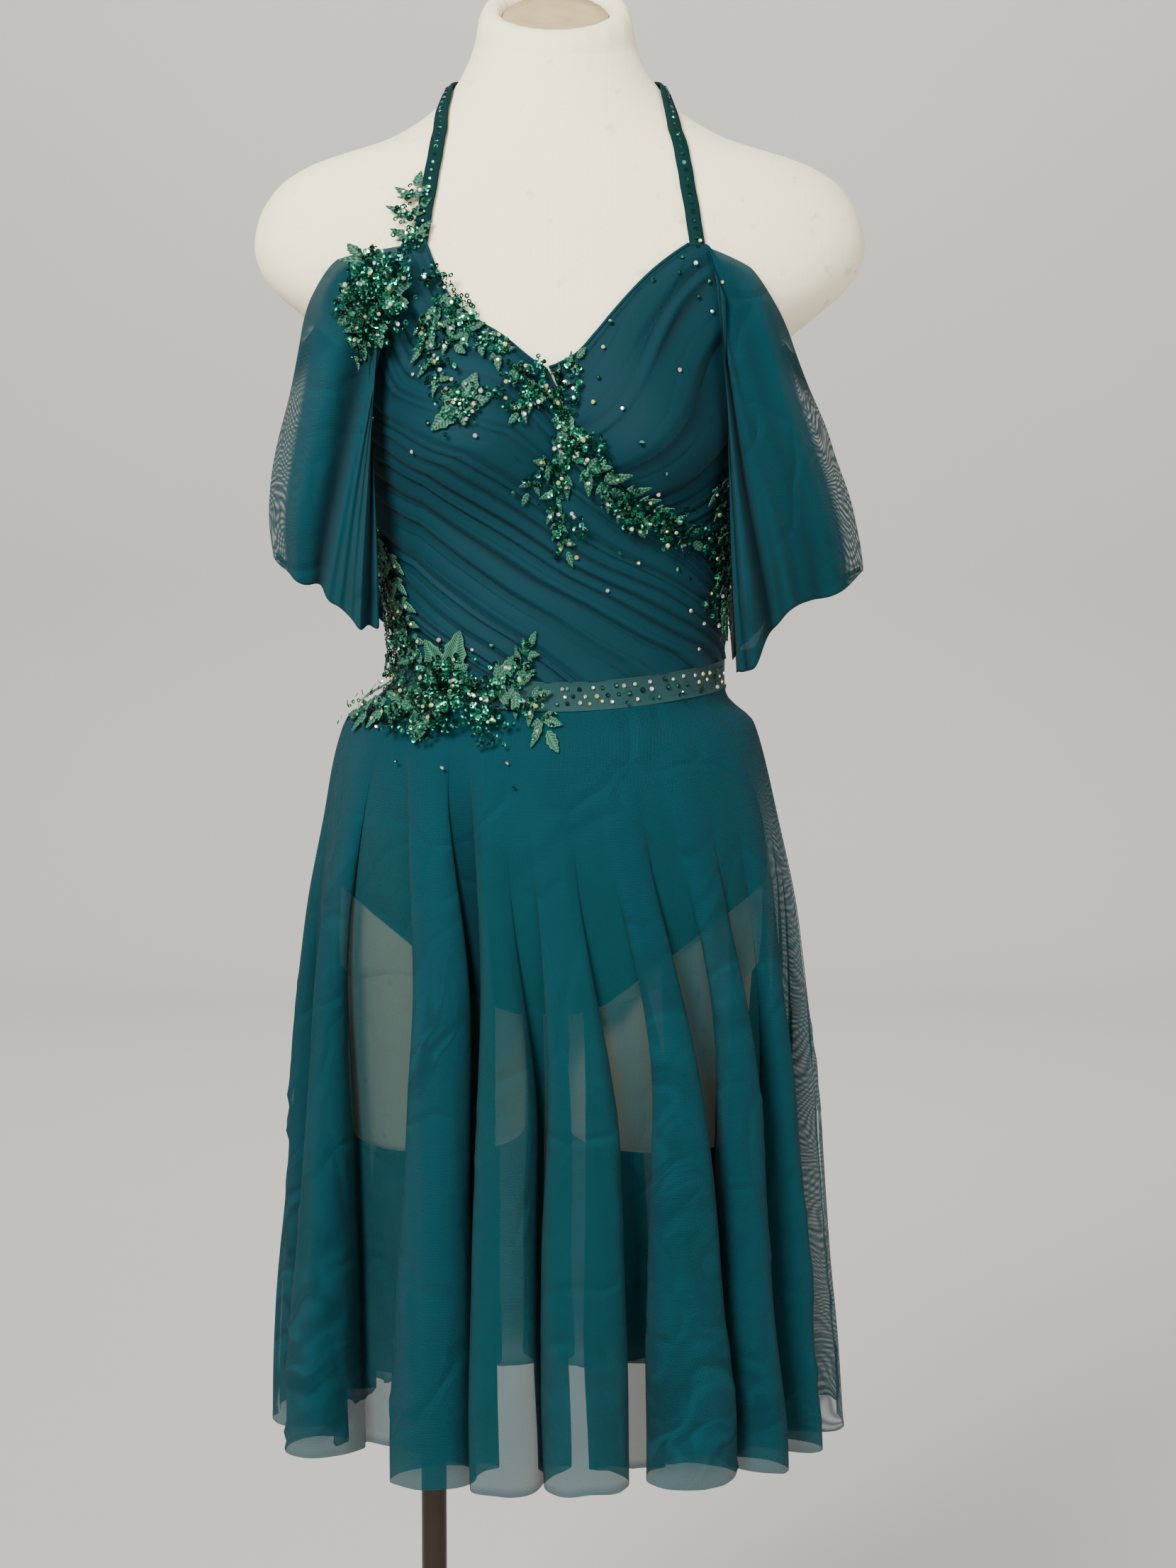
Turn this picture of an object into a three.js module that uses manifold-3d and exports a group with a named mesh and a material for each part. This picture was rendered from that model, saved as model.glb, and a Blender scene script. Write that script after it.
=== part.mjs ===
// A lyrical dance costume worn by a limbless dress form, which stands on a rod and a round base.
// Millimetres, +Z up. The costume faces -Y, and +X is on the right of someone who looks at its front.
// The origin is on the floor, under the middle of the base.
//
// The costume is a leotard with a skirt: a wrap bodice in two ruched panels, a plain back, a waistband,
// briefs, a circle skirt, two draped off-shoulder sleeves, a halter strap and flower-lace applique.

import * as THREE from "three";
import Module from "manifold-3d";
import { mergeVertices } from "three/addons/utils/BufferGeometryUtils.js";

// ---------------------------------------------------------------- driving sizes
const CLOTH = 1.5; // wall of a cloth piece
const EASE = 2.6; // from the form to the cloth that lies on it
const SEAM = 0.3; // from a seam line to each of the two edges that meet there
const ARC = 130; // millimetres that stand for one radian where a seam is drawn on the body

const WAIST_TOP = 1007; // top edge of the waistband at the sides
const WAIST_DIP = 15; // how much lower it is in the middle of the front
const BAND_HEIGHT = 20;
const HEM = 435; // hem of the skirt
const LACE = 1.6; // applique, at its edge
const LACE_RISE = 2.0; // how much higher the middle of a flower stands
const LACE_GAP = 1.0; // from the highest fold of the bodice to the applique

const ROD = { x: -96, radius: 9.5, foot: 6, socket: 70 };
const BASE = { radius: 175, height: 8, edge: 2 };
const LEG_END = 650; // cut end of the thigh stubs

// The figure, one row for each level: half its width, its depth before and behind the middle,
// how square the section is, and how far its middle lies to the side.
const FIGURE = [
  { z: 1500, half: 54, front: 46, back: 60, power: 2.0, side: -3 },
  { z: 1477, half: 54, front: 47, back: 61, power: 2.0, side: -3 },
  { z: 1455, half: 58, front: 48, back: 64, power: 2.0, side: -3 },
  { z: 1435, half: 65, front: 50, back: 68, power: 2.0, side: -3 },
  { z: 1418, half: 76, front: 54, back: 74, power: 2.0, side: -2 },
  { z: 1402, half: 92, front: 59, back: 82, power: 2.0, side: -2 },
  { z: 1384, half: 122, front: 65, back: 90, power: 2.0, side: -1 },
  { z: 1364, half: 182, front: 70, back: 96, power: 2.1, side: 0 },
  { z: 1348, half: 206, front: 74, back: 99, power: 2.1, side: 0 },
  { z: 1324, half: 220, front: 79, back: 102, power: 2.2, side: 0 },
  { z: 1306, half: 223, front: 82, back: 104, power: 2.2, side: 0 },
  { z: 1290, half: 219, front: 85, back: 105, power: 2.2, side: 0 },
  { z: 1273, half: 207, front: 88, back: 105, power: 2.2, side: 0 },
  { z: 1256, half: 187, front: 91, back: 105, power: 2.2, side: 0 },
  { z: 1238, half: 166, front: 93, back: 104, power: 2.25, side: 0 },
  { z: 1218, half: 152, front: 95, back: 103, power: 2.3, side: 0 },
  { z: 1195, half: 145, front: 97, back: 101, power: 2.3, side: 0 },
  { z: 1167, half: 140, front: 98, back: 98, power: 2.3, side: 0 },
  { z: 1125, half: 133, front: 95, back: 93, power: 2.3, side: 0 },
  { z: 1087, half: 127, front: 91, back: 89, power: 2.25, side: 0 },
  { z: 1050, half: 121, front: 88, back: 86, power: 2.2, side: 0 },
  { z: 1012, half: 117, front: 87, back: 86, power: 2.2, side: 0 },
  { z: 985, half: 119, front: 89, back: 90, power: 2.2, side: -2 },
  { z: 950, half: 130, front: 95, back: 101, power: 2.2, side: -5 },
  { z: 915, half: 144, front: 101, back: 113, power: 2.25, side: -6 },
  { z: 880, half: 153, front: 104, back: 121, power: 2.3, side: -6 },
  { z: 845, half: 156, front: 103, back: 123, power: 2.4, side: -6 },
  { z: 810, half: 157, front: 99, back: 118, power: 2.5, side: -7 },
  { z: 775, half: 155, front: 94, back: 108, power: 2.6, side: -8 },
  { z: 740, half: 153, front: 88, back: 98, power: 2.7, side: -9 },
  { z: 700, half: 151, front: 84, back: 92, power: 2.7, side: -10 },
  { z: 640, half: 149, front: 82, back: 88, power: 2.7, side: -10 },
];
const BUST = { angle: 0.56, level: 1163, rise: 27, spread: 0.4, above: 60, below: 42 };

// Outer reach of the skirt at the crests of its folds, how deep the folds are there,
// and how far its middle lies to the side.
const SKIRT = [
  { z: 992, side: 124, front: 95, back: 95, depth: 0, shift: -1 },
  { z: 980, side: 137, front: 96, back: 104, depth: 0.5, shift: -5 },
  { z: 968, side: 147, front: 98, back: 113, depth: 1.5, shift: -8 },
  { z: 940, side: 157, front: 111, back: 124, depth: 6, shift: -8 },
  { z: 893, side: 167, front: 126, back: 141, depth: 13, shift: -7 },
  { z: 817, side: 182, front: 143, back: 154, depth: 23, shift: -6 },
  { z: 725, side: 193, front: 158, back: 166, depth: 32, shift: -5 },
  { z: 632, side: 200, front: 170, back: 175, depth: 39, shift: -4 },
  { z: 556, side: 206, front: 179, back: 183, depth: 44, shift: -4 },
  { z: 435, side: 214, front: 190, back: 193, depth: 50, shift: -1.5 },
];
// Folds of the skirt from left to right: where the crest is, half its width at the hem,
// how deep the valley after it is for its level, and how far that valley is tucked under the crests.
const FRONT_FOLDS = [
  { at: -86, half: 22, valley: 0.6, tuck: 4 },
  { at: -59, half: 29, valley: 1.0, tuck: 9 },
  { at: -29.5, half: 33, valley: 1.0, tuck: 8 },
  { at: -10.7, half: 22, valley: 1.05, tuck: 8 },
  { at: 7.1, half: 34, valley: 0.9, tuck: 8 },
  { at: 31.2, half: 35, valley: 1.0, tuck: 8 },
  { at: 50, half: 19, valley: 0.8, tuck: 4 },
  { at: 64, half: 11, valley: 0.7, tuck: 2 },
  { at: 83, half: 24, valley: 0.7, tuck: 4 },
];
const BACK_FOLDS = [
  { at: 97, half: 26, valley: 0.7, tuck: 6 },
  { at: 121, half: 26, valley: 1.0, tuck: 8 },
  { at: 142, half: 22, valley: 0.9, tuck: 7 },
  { at: 162, half: 27, valley: 1.0, tuck: 8 },
  { at: 183, half: 26, valley: 0.95, tuck: 8 },
  { at: 204, half: 23, valley: 1.0, tuck: 8 },
  { at: 224, half: 26, valley: 0.9, tuck: 7 },
  { at: 243, half: 20, valley: 0.9, tuck: 6 },
  { at: 263, half: 24, valley: 0.7, tuck: 4 },
];

// Height of each ruched fold, from the neckline down.
const WRAP_FOLDS = [1.4, 2.0, 1.2, 2.6, 1.8, 3.0, 2.2, 2.8, 2.0, 2.6, 1.6];
const CUP_FOLDS = [1.2, 2.0, 1.6, 2.6, 2.0, 2.4, 1.4];
const HIGHEST_FOLD = 3.0;

// A sleeve, from its inner front edge round the arm to its inner back edge. Each row pairs a point
// of the gathered top edge with the point of the hem below it. x is counted outwards from the middle.
const RIGHT_SLEEVE = [
  { at: 0.0, top: [117, -88, 1262], hem: [127, -60, 1003] },
  { at: 0.1, top: [113, -87, 1273], hem: [134, -72, 1002] },
  { at: 0.2, top: [109, -85, 1284], hem: [147, -72, 1021] },
  { at: 0.3, top: [105, -83, 1298], hem: [166, -64, 1047] },
  { at: 0.4, top: [134, -81, 1285], hem: [196, -42, 1056] },
  { at: 0.45, top: [157, -62, 1255], hem: [218, -18, 1067] },
  { at: 0.5, top: [172, 2, 1230], hem: [226, 8, 1071] },
  { at: 0.55, top: [160, 66, 1256], hem: [218, 34, 1067] },
  { at: 0.6, top: [136, 96, 1282], hem: [200, 54, 1058] },
  { at: 0.7, top: [114, 104, 1290], hem: [174, 68, 1048] },
  { at: 0.8, top: [118, 101, 1280], hem: [155, 76, 1034] },
  { at: 0.9, top: [121, 99, 1269], hem: [141, 74, 1019] },
  { at: 1.0, top: [124, 98, 1258], hem: [131, 64, 1010] },
];
const LEFT_SLEEVE = [
  { at: 0.0, top: [136, -79, 1256], hem: [129, -60, 1036] },
  { at: 0.1, top: [130, -81, 1269], hem: [137, -70, 1032] },
  { at: 0.2, top: [121, -83, 1282], hem: [150, -68, 1042] },
  { at: 0.3, top: [111.5, -81.6, 1299], hem: [167, -58, 1056] },
  { at: 0.4, top: [155, -72, 1291], hem: [190, -40, 1068] },
  { at: 0.45, top: [177, -57, 1264], hem: [205, -18, 1075] },
  { at: 0.5, top: [189, 2, 1238], hem: [213, 8, 1082] },
  { at: 0.55, top: [177, 62, 1264], hem: [206, 32, 1075] },
  { at: 0.6, top: [150, 92, 1284], hem: [192, 52, 1068] },
  { at: 0.7, top: [118, 104, 1290], hem: [173, 66, 1058] },
  { at: 0.8, top: [121, 101, 1280], hem: [157, 74, 1048] },
  { at: 0.9, top: [124, 99, 1269], hem: [143, 72, 1040] },
  { at: 1.0, top: [127, 98, 1258], hem: [133, 62, 1036] },
];

// ---------------------------------------------------------------- small helpers
const clamp01 = (t) => Math.min(1, Math.max(0, t));
const mix = (a, b, t) => a + (b - a) * t;
const smooth = (from, to, t) => {
  const k = clamp01((t - from) / (to - from));
  return k * k * (3 - 2 * k);
};

// A smooth curve through the named column of a table, which never overshoots its rows.
function column(table, key, along = "z") {
  const rows = [...table].sort((a, b) => a[along] - b[along]);
  const slope = rows.slice(1).map((row, i) => (row[key] - rows[i][key]) / (row[along] - rows[i][along]));
  const bend = rows.map((row, i) => {
    if (i === 0 || i === rows.length - 1 || slope[i - 1] * slope[i] <= 0) return 0;
    return (2 * slope[i - 1] * slope[i]) / (slope[i - 1] + slope[i]);
  });
  return (at) => {
    if (at <= rows[0][along]) return rows[0][key];
    if (at >= rows[rows.length - 1][along]) return rows[rows.length - 1][key];
    const i = rows.findIndex((row) => row[along] > at) - 1;
    const step = rows[i + 1][along] - rows[i][along];
    const t = (at - rows[i][along]) / step;
    const rise = rows[i + 1][key] - rows[i][key];
    return (
      rows[i][key] +
      rise * t * t * (3 - 2 * t) +
      step * t * (1 - t) * (bend[i] * (1 - t) - bend[i + 1] * t)
    );
  };
}

// ---------------------------------------------------------------- the figure
const half = column(FIGURE, "half");
const front = column(FIGURE, "front");
const back = column(FIGURE, "back");
const power = column(FIGURE, "power");
const side = column(FIGURE, "side");

// How far the bust rises out of the plain section.
function bustRise(angle, z) {
  const turn = (Math.abs(angle) - BUST.angle) / BUST.spread;
  const rise = (z - BUST.level) / (z > BUST.level ? BUST.above : BUST.below);
  return BUST.rise * Math.exp(-turn * turn - rise * rise) * smooth(0, 0.4, Math.cos(angle));
}

// Distance from the middle to the skin, looking out at an angle: 0 is the front, +90 degrees is +X.
function bodyRadius(angle, z) {
  const across = Math.abs(Math.sin(angle)) / half(z);
  const deep = Math.abs(Math.cos(angle)) / (Math.cos(angle) > 0 ? front(z) : back(z));
  const n = power(z);
  return (across ** n + deep ** n) ** (-1 / n) + bustRise(angle, z);
}

const skin = (angle, z) => {
  const r = bodyRadius(angle, z);
  return new THREE.Vector3(side(z) + r * Math.sin(angle), -r * Math.cos(angle), z);
};

// A point moved straight out from the skin. Cloth spans the bust a little more freely.
function off(angle, z, rise) {
  const distance = rise + 0.05 * bustRise(angle, z);
  const step = 0.01;
  const around = skin(angle + step, z).sub(skin(angle - step, z));
  const up = skin(angle, z + 1).sub(skin(angle, z - 1));
  return around.cross(up).normalize().multiplyScalar(distance).add(skin(angle, z));
}

// The angle at which the front of the skin has this x.
function angleAt(x, z) {
  let low = 0;
  let high = Math.PI / 2;
  const wanted = Math.abs(x - side(z));
  for (let i = 0; i < 30; i++) {
    const middle = (low + high) / 2;
    if (bodyRadius(middle, z) * Math.sin(middle) < wanted) low = middle;
    else high = middle;
  }
  return Math.sign(x - side(z)) * low;
}

// ---------------------------------------------------------------- making solids
function signedVolume(points, faces) {
  return faces.reduce((sum, [a, b, c]) => sum + points[a].dot(points[b].clone().cross(points[c])) / 6, 0);
}

function solid(points, faces) {
  const out = signedVolume(points, faces) < 0 ? faces.map(([a, b, c]) => [a, c, b]) : faces;
  const geometry = new THREE.BufferGeometry().setFromPoints(points);
  geometry.setIndex(out.flat());
  geometry.computeVertexNormals();
  return geometry;
}

const quad = (a, b, c, d) => [
  [a, b, c],
  [a, c, d],
];

// A wall of cloth. place(u, v) gives its two faces, and u and v run from 0 to 1.
function clothWall(columns, rows, place) {
  const points = [];
  for (let j = 0; j <= rows; j++)
    for (let i = 0; i <= columns; i++) points.push(...place(i / columns, j / rows));
  const at = (i, j, face) => 2 * (j * (columns + 1) + i) + face;
  const faces = [];
  for (let j = 0; j < rows; j++)
    for (let i = 0; i < columns; i++) {
      faces.push(...quad(at(i, j, 1), at(i + 1, j, 1), at(i + 1, j + 1, 1), at(i, j + 1, 1)));
      faces.push(...quad(at(i, j + 1, 0), at(i + 1, j + 1, 0), at(i + 1, j, 0), at(i, j, 0)));
    }
  for (let i = 0; i < columns; i++) {
    faces.push(...quad(at(i, 0, 0), at(i + 1, 0, 0), at(i + 1, 0, 1), at(i, 0, 1)));
    faces.push(...quad(at(i, rows, 1), at(i + 1, rows, 1), at(i + 1, rows, 0), at(i, rows, 0)));
  }
  for (let j = 0; j < rows; j++) {
    faces.push(...quad(at(0, j, 1), at(0, j + 1, 1), at(0, j + 1, 0), at(0, j, 0)));
    faces.push(...quad(at(columns, j, 0), at(columns, j + 1, 0), at(columns, j + 1, 1), at(columns, j, 1)));
  }
  return solid(points, faces);
}

// A cloth wall round a sheet(u, v) in space: the sheet is its inner face, and the outer one is moved out.
function sheetWall(columns, rows, sheet, thickness = CLOTH) {
  const step = 0.002;
  return clothWall(columns, rows, (u, v) => {
    const across = sheet(Math.min(1, u + step), v).sub(sheet(Math.max(0, u - step), v));
    const down = sheet(u, Math.min(1, v + step)).sub(sheet(u, Math.max(0, v - step)));
    const here = sheet(u, v);
    return [here, down.cross(across).normalize().multiplyScalar(thickness).add(here)];
  });
}

// Rings of equally many points, joined in turn and closed at both ends.
function loft(rings) {
  const n = rings[0].length;
  const points = rings.flat();
  const faces = [];
  for (let k = 0; k < rings.length - 1; k++)
    for (let i = 0; i < n; i++) {
      const j = (i + 1) % n;
      faces.push(...quad(k * n + i, k * n + j, (k + 1) * n + j, (k + 1) * n + i));
    }
  for (const k of [0, rings.length - 1]) {
    const middle = new THREE.Vector3();
    rings[k].forEach((p) => middle.add(p));
    const hub = points.push(middle.divideScalar(n)) - 1;
    for (let i = 0; i < n; i++) {
      const j = (i + 1) % n;
      faces.push(k === 0 ? [hub, k * n + j, k * n + i] : [hub, k * n + i, k * n + j]);
    }
  }
  return solid(points, faces);
}

const wasm = await Module();
wasm.setup();

function toManifold(geometry) {
  const bare = geometry.clone();
  bare.deleteAttribute("normal");
  bare.deleteAttribute("uv");
  const merged = mergeVertices(bare, 1e-4);
  return new wasm.Manifold(
    new wasm.Mesh({
      numProp: 3,
      vertProperties: new Float32Array(merged.attributes.position.array),
      triVerts: new Uint32Array(merged.index.array),
    }),
  );
}

function fromManifold(made) {
  const mesh = made.getMesh();
  const geometry = new THREE.BufferGeometry();
  geometry.setAttribute("position", new THREE.BufferAttribute(new Float32Array(mesh.vertProperties), 3));
  geometry.setIndex(new THREE.BufferAttribute(new Uint32Array(mesh.triVerts), 1));
  geometry.computeVertexNormals();
  return geometry;
}

const group = new THREE.Group();

function add(name, geometry, colour, roughness = 0.85, metalness = 0) {
  const material = new THREE.MeshStandardMaterial({ color: colour, roughness, metalness });
  const mesh = new THREE.Mesh(geometry, material);
  mesh.name = name;
  group.add(mesh);
}

const TEAL = "#11484e";
const BAND = "#2b5151";
const LACE_GREEN = "#48816b";
const CREAM = "#efe7da";
const FOAM = "#c9b67f";
const STEEL = "#41382f";

// ---------------------------------------------------------------- dress form
const RING_POINTS = 24;
const BODY_LEVELS = [
  785, 815, 850, 885, 920, 955, 985, 1012, 1050, 1090, 1110, 1128, 1146, 1163, 1182, 1202, 1220,
  1238, 1256, 1274, 1290, 1306, 1324, 1340, 1353, 1365, 1377, 1390, 1405, 1420, 1438,
];
// The rounded underside of the trunk and the turned-in top of the neck: levels, and shares of the section.
const TRUNK_FOOT = [
  { z: 751, share: 0.3 },
  { z: 754, share: 0.6 },
  { z: 761, share: 0.84 },
  { z: 772, share: 0.97 },
];
const NECK_TOP = [
  { z: 1456, share: 1 },
  { z: 1471, share: 1 },
  { z: 1476, share: 0.95 },
  { z: 1478, share: 0.8 },
  { z: 1477, share: 0.74 },
  { z: 1467, share: 0.72 },
];
const NECK_TILT = 0.57; // slope of the neck's top, which is lower in front
const THIGHS = [
  { z: LEG_END, from: 81, half: 60, front: 72, back: 76 },
  { z: LEG_END + 4, from: 81, half: 64, front: 76, back: 80 },
  { z: 700, from: 82, half: 66, front: 79, back: 84 },
  { z: 750, from: 84, half: 66, front: 82, back: 90 },
  { z: 790, from: 85, half: 66, front: 84, back: 96 },
  { z: 830, from: 84, half: 60, front: 78, back: 92 },
];

function bodyRing(z, share) {
  const tilt = NECK_TILT * smooth(1430, 1468, z);
  return Array.from({ length: RING_POINTS }, (_, i) => {
    const angle = (i / RING_POINTS) * 2 * Math.PI;
    const wrapped = angle > Math.PI ? angle - 2 * Math.PI : angle;
    const p = skin(wrapped, z);
    p.x = side(z) + (p.x - side(z)) * share;
    p.y *= share;
    p.z += p.y * tilt;
    return p;
  });
}

function thigh(hand) {
  return loft(
    THIGHS.map(({ z, from, half: width, front: before, back: behind }) =>
      Array.from({ length: 20 }, (_, i) => {
        const angle = (i / 20) * 2 * Math.PI;
        const depth = Math.cos(angle) > 0 ? before : behind;
        return new THREE.Vector3(
          side(z) + hand * from + width * Math.sin(angle),
          -depth * Math.cos(angle),
          z,
        );
      }),
    ),
  );
}

function upright(radius, bottom, top, x, sides = 24) {
  return new THREE.CylinderGeometry(radius, radius, top - bottom, sides)
    .rotateX(Math.PI / 2)
    .translate(x, 0, (top + bottom) / 2);
}

const trunk = loft([...TRUNK_FOOT, ...BODY_LEVELS.map((z) => ({ z, share: 1 })), ...NECK_TOP]
  .map(({ z, share }) => bodyRing(z, share)));
const socket = upright(ROD.radius + 0.3, LEG_END - 5, LEG_END + ROD.socket, ROD.x);
const form = toManifold(trunk)
  .add(toManifold(thigh(-1)))
  .add(toManifold(thigh(1)))
  .subtract(toManifold(socket));
add("dress_form", fromManifold(form), CREAM);

const plug = [
  { z: 1467.5, share: 0.7 },
  { z: 1471, share: 0.7 },
].map(({ z, share }) => bodyRing(z, share));
add("neck_foam", loft(plug), FOAM);

// ---------------------------------------------------------------- stand
function turnedSolid(outline, sides) {
  const profile = outline.map(([r, z]) => new THREE.Vector2(r, z));
  return toManifold(new THREE.LatheGeometry(profile, sides).rotateX(Math.PI / 2));
}
const { radius, height, edge } = BASE;
const flat = radius - edge;
const plate = turnedSolid(
  [[0, 0], [flat, 0], [radius, edge], [radius, height - edge], [flat, height], [0, height]],
  48,
);
const collar = turnedSolid(
  [[0, 4], [26, 4], [26, height + 2], [14, 20], [14, 34], [0, 34]],
  24,
).translate([ROD.x, 0, 0]);
const rodHole = toManifold(upright(ROD.radius + 0.3, ROD.foot - 0.3, 40, ROD.x));
add("stand_base", fromManifold(plate.add(collar).subtract(rodHole)), STEEL, 0.45, 0.8);
add("stand_rod", upright(ROD.radius, ROD.foot, LEG_END + ROD.socket - 0.3, ROD.x), STEEL, 0.35, 0.8);

// ---------------------------------------------------------------- seam lines, drawn on the body
const waistTop = (angle) => WAIST_TOP - WAIST_DIP * Math.max(0, Math.cos(angle)) ** 1.4;
const waistFoot = (angle) => waistTop(angle) - BAND_HEIGHT;
const onBody = (angle, z) => new THREE.Vector2(angle * ARC, z);
const atFront = ([x, z]) => onBody(angleAt(x, z), z);
const seam = (points) => new THREE.SplineCurve(points);

function chain(...curves) {
  const path = new THREE.CurvePath();
  curves.forEach((curve) => path.add(curve));
  path.arcLengthDivisions = 400;
  return (t) => path.getPoint(clamp01(t));
}

// A panel's angle and level at (s, t), between the seams on its four sides.
function between(top, foot, left, right) {
  const [a, b, c, d] = [top(0), top(1), foot(0), foot(1)];
  return (s, t) => {
    const p = top(s).clone().multiplyScalar(1 - t).add(foot(s).clone().multiplyScalar(t));
    p.add(left(t).clone().multiplyScalar(1 - s)).add(right(t).clone().multiplyScalar(s));
    p.sub(a.clone().multiplyScalar((1 - s) * (1 - t))).sub(b.clone().multiplyScalar(s * (1 - t)));
    p.sub(c.clone().multiplyScalar((1 - s) * t)).sub(d.clone().multiplyScalar(s * t));
    return { angle: p.x / ARC, z: p.y };
  };
}

const waistLine = (from, to, lift) =>
  seam(Array.from({ length: 9 }, (_, i) => {
    const angle = mix(from, to, i / 8);
    return onBody(angle, waistTop(angle) + lift);
  }));

const QUARTER = Math.PI / 2 - 0.004;
const V_POINT = [-9, 1211];
const DIAGONAL = [[-9, 1211], [16, 1167], [55, 1124], [88, 1094], [111, 1064]];
const WRAP_END = { angle: 1.5, z: 1040 };

// Height of a ruched fold at t across the panel: each rises slowly and drops back under the next.
function ruche(heights, t) {
  const at = Math.min(heights.length - 1e-6, t * heights.length);
  const share = at - Math.floor(at);
  const rise = share < 0.6 ? smooth(0, 0.6, share) : 1 - smooth(0.6, 1, share);
  return heights[Math.floor(at)] * rise;
}

function panel(columns, rows, domain, heights) {
  return clothWall(columns, rows, (s, t) => {
    const { angle, z } = domain(s, t);
    const fade = heights ? smooth(0, 0.12, s) * (1 - 0.6 * smooth(0.85, 1, s)) : 0;
    const relief = heights ? ruche(heights, t) * fade : 0;
    return [off(angle, z, EASE), off(angle, z, EASE + CLOTH + relief)];
  });
}

// ---------------------------------------------------------------- bodice
const wrapTop = chain(
  seam([[-94, 1303], [-77, 1264], [-57, 1246], [-39, 1234], [-21, 1219], V_POINT].map(atFront)),
  seam([
    ...DIAGONAL.map(([x, z]) => atFront([x - SEAM, z - SEAM])),
    onBody(WRAP_END.angle, WRAP_END.z - 2 * SEAM),
  ]),
);
const wrapLeft = chain(
  seam([[-94, 1303], [-108, 1301]].map(atFront)),
  seam([
    ...[[-108, 1301], [-126, 1272], [-143, 1246]].map(atFront),
    onBody(-1.45, 1222),
    onBody(-QUARTER, 1212),
  ]),
  seam([onBody(-QUARTER, 1212), onBody(-QUARTER, WAIST_TOP + SEAM)]),
);
const WRAP_CORNER = -0.95; // where the lowest fold meets the waistband
const wrapFoot = chain(waistLine(-QUARTER, WRAP_CORNER, SEAM));
const wrapRight = chain(
  seam([onBody(WRAP_END.angle, WRAP_END.z - 2 * SEAM), onBody(QUARTER, WRAP_END.z - 10)]),
  seam([onBody(QUARTER, WRAP_END.z - 10), onBody(QUARTER, WAIST_TOP + SEAM)]),
  waistLine(QUARTER, WRAP_CORNER, SEAM),
);
const wrapDomain = between(wrapTop, wrapFoot, wrapLeft, wrapRight);
add("bodice_wrap", panel(13, WRAP_FOLDS.length * 3, wrapDomain, WRAP_FOLDS), TEAL);

const CUP_NECK = [[91, 1300], [68, 1283], [51, 1266], [38, 1251], [26, 1236], [12, 1221], [-7, 1212.5]];
const cupTop = chain(seam(CUP_NECK.map(atFront)));
const cupLeft = chain(
  seam([[91, 1300], [104, 1299]].map(atFront)),
  seam([
    ...[[104, 1299], [124, 1271], [143, 1246]].map(atFront),
    onBody(1.45, 1222),
    onBody(QUARTER, 1212),
  ]),
  seam([onBody(QUARTER, 1212), onBody(QUARTER, WRAP_END.z + 14)]),
);
const CUP_END = onBody(WRAP_END.angle - 0.06, WRAP_END.z + 6);
const besideWrap = DIAGONAL.slice(1).map(([x, z]) => atFront([x + SEAM, z + SEAM]));
const cupRight = chain(seam([atFront([-7, 1212.5]), ...besideWrap, CUP_END]));
const cupFoot = chain(seam([onBody(QUARTER, WRAP_END.z + 14), CUP_END]));
const cupDomain = between(cupTop, cupFoot, cupLeft, cupRight);
add("bodice_cup", panel(9, CUP_FOLDS.length * 3, cupDomain, CUP_FOLDS), TEAL);

const BACK_TOP = [
  [-Math.PI / 2 - 0.004, 1212],
  [-1.9, 1236],
  [-2.25, 1258],
  [-2.6, 1240],
  [-Math.PI, 1206],
  [-3.68, 1240],
  [-4.03, 1258],
  [-4.38, 1236],
  [-4.708, 1212],
];
const backTop = chain(seam(BACK_TOP.map(([angle, z]) => onBody(angle, z))));
const backDomain = (s, t) => {
  const edge = backTop(s);
  const angle = edge.x / ARC;
  return { angle, z: mix(edge.y, WAIST_TOP + SEAM, t) };
};
add("bodice_back", panel(22, 7, backDomain, null), TEAL);

// ---------------------------------------------------------------- waistband and briefs
const bandWall = (from, to) =>
  clothWall(16, 2, (s, t) => {
    const angle = mix(from, to, s);
    const z = mix(waistTop(angle) - SEAM, waistFoot(angle) + SEAM + 0.1, t);
    return [off(angle, z, EASE), off(angle, z, EASE + CLOTH + 1.6)];
  });
add("waistband_front", bandWall(-QUARTER, QUARTER), BAND);
add("waistband_back", bandWall(Math.PI / 2 + 0.004, 1.5 * Math.PI - 0.004), BAND);

// Half the width of the briefs at each level of the leg opening, then the strip under the crotch.
const BRIEF_FRONT = [
  { z: 846, half: 170 },
  { z: 845.5, half: 155.2 },
  { z: 843, half: 152 },
  { z: 840, half: 147 },
  { z: 835, half: 140 },
  { z: 826, half: 125 },
  { z: 804, half: 95 },
  { z: 781, half: 64 },
  { z: 763, half: 41 },
];
const BRIEF_BACK = [
  { z: 846, half: 170 },
  { z: 844.5, half: 155 },
  { z: 839, half: 150 },
  { z: 829, half: 142 },
  { z: 815, half: 128 },
  { z: 796, half: 104 },
  { z: 778, half: 76 },
  { z: 763, half: 44 },
];
const GUSSET = [
  { z: 752.5, y: 70, half: 22 },
  { z: 747.4, y: 40, half: 15 },
  { z: 746, y: SEAM, half: 15 },
];

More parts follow.
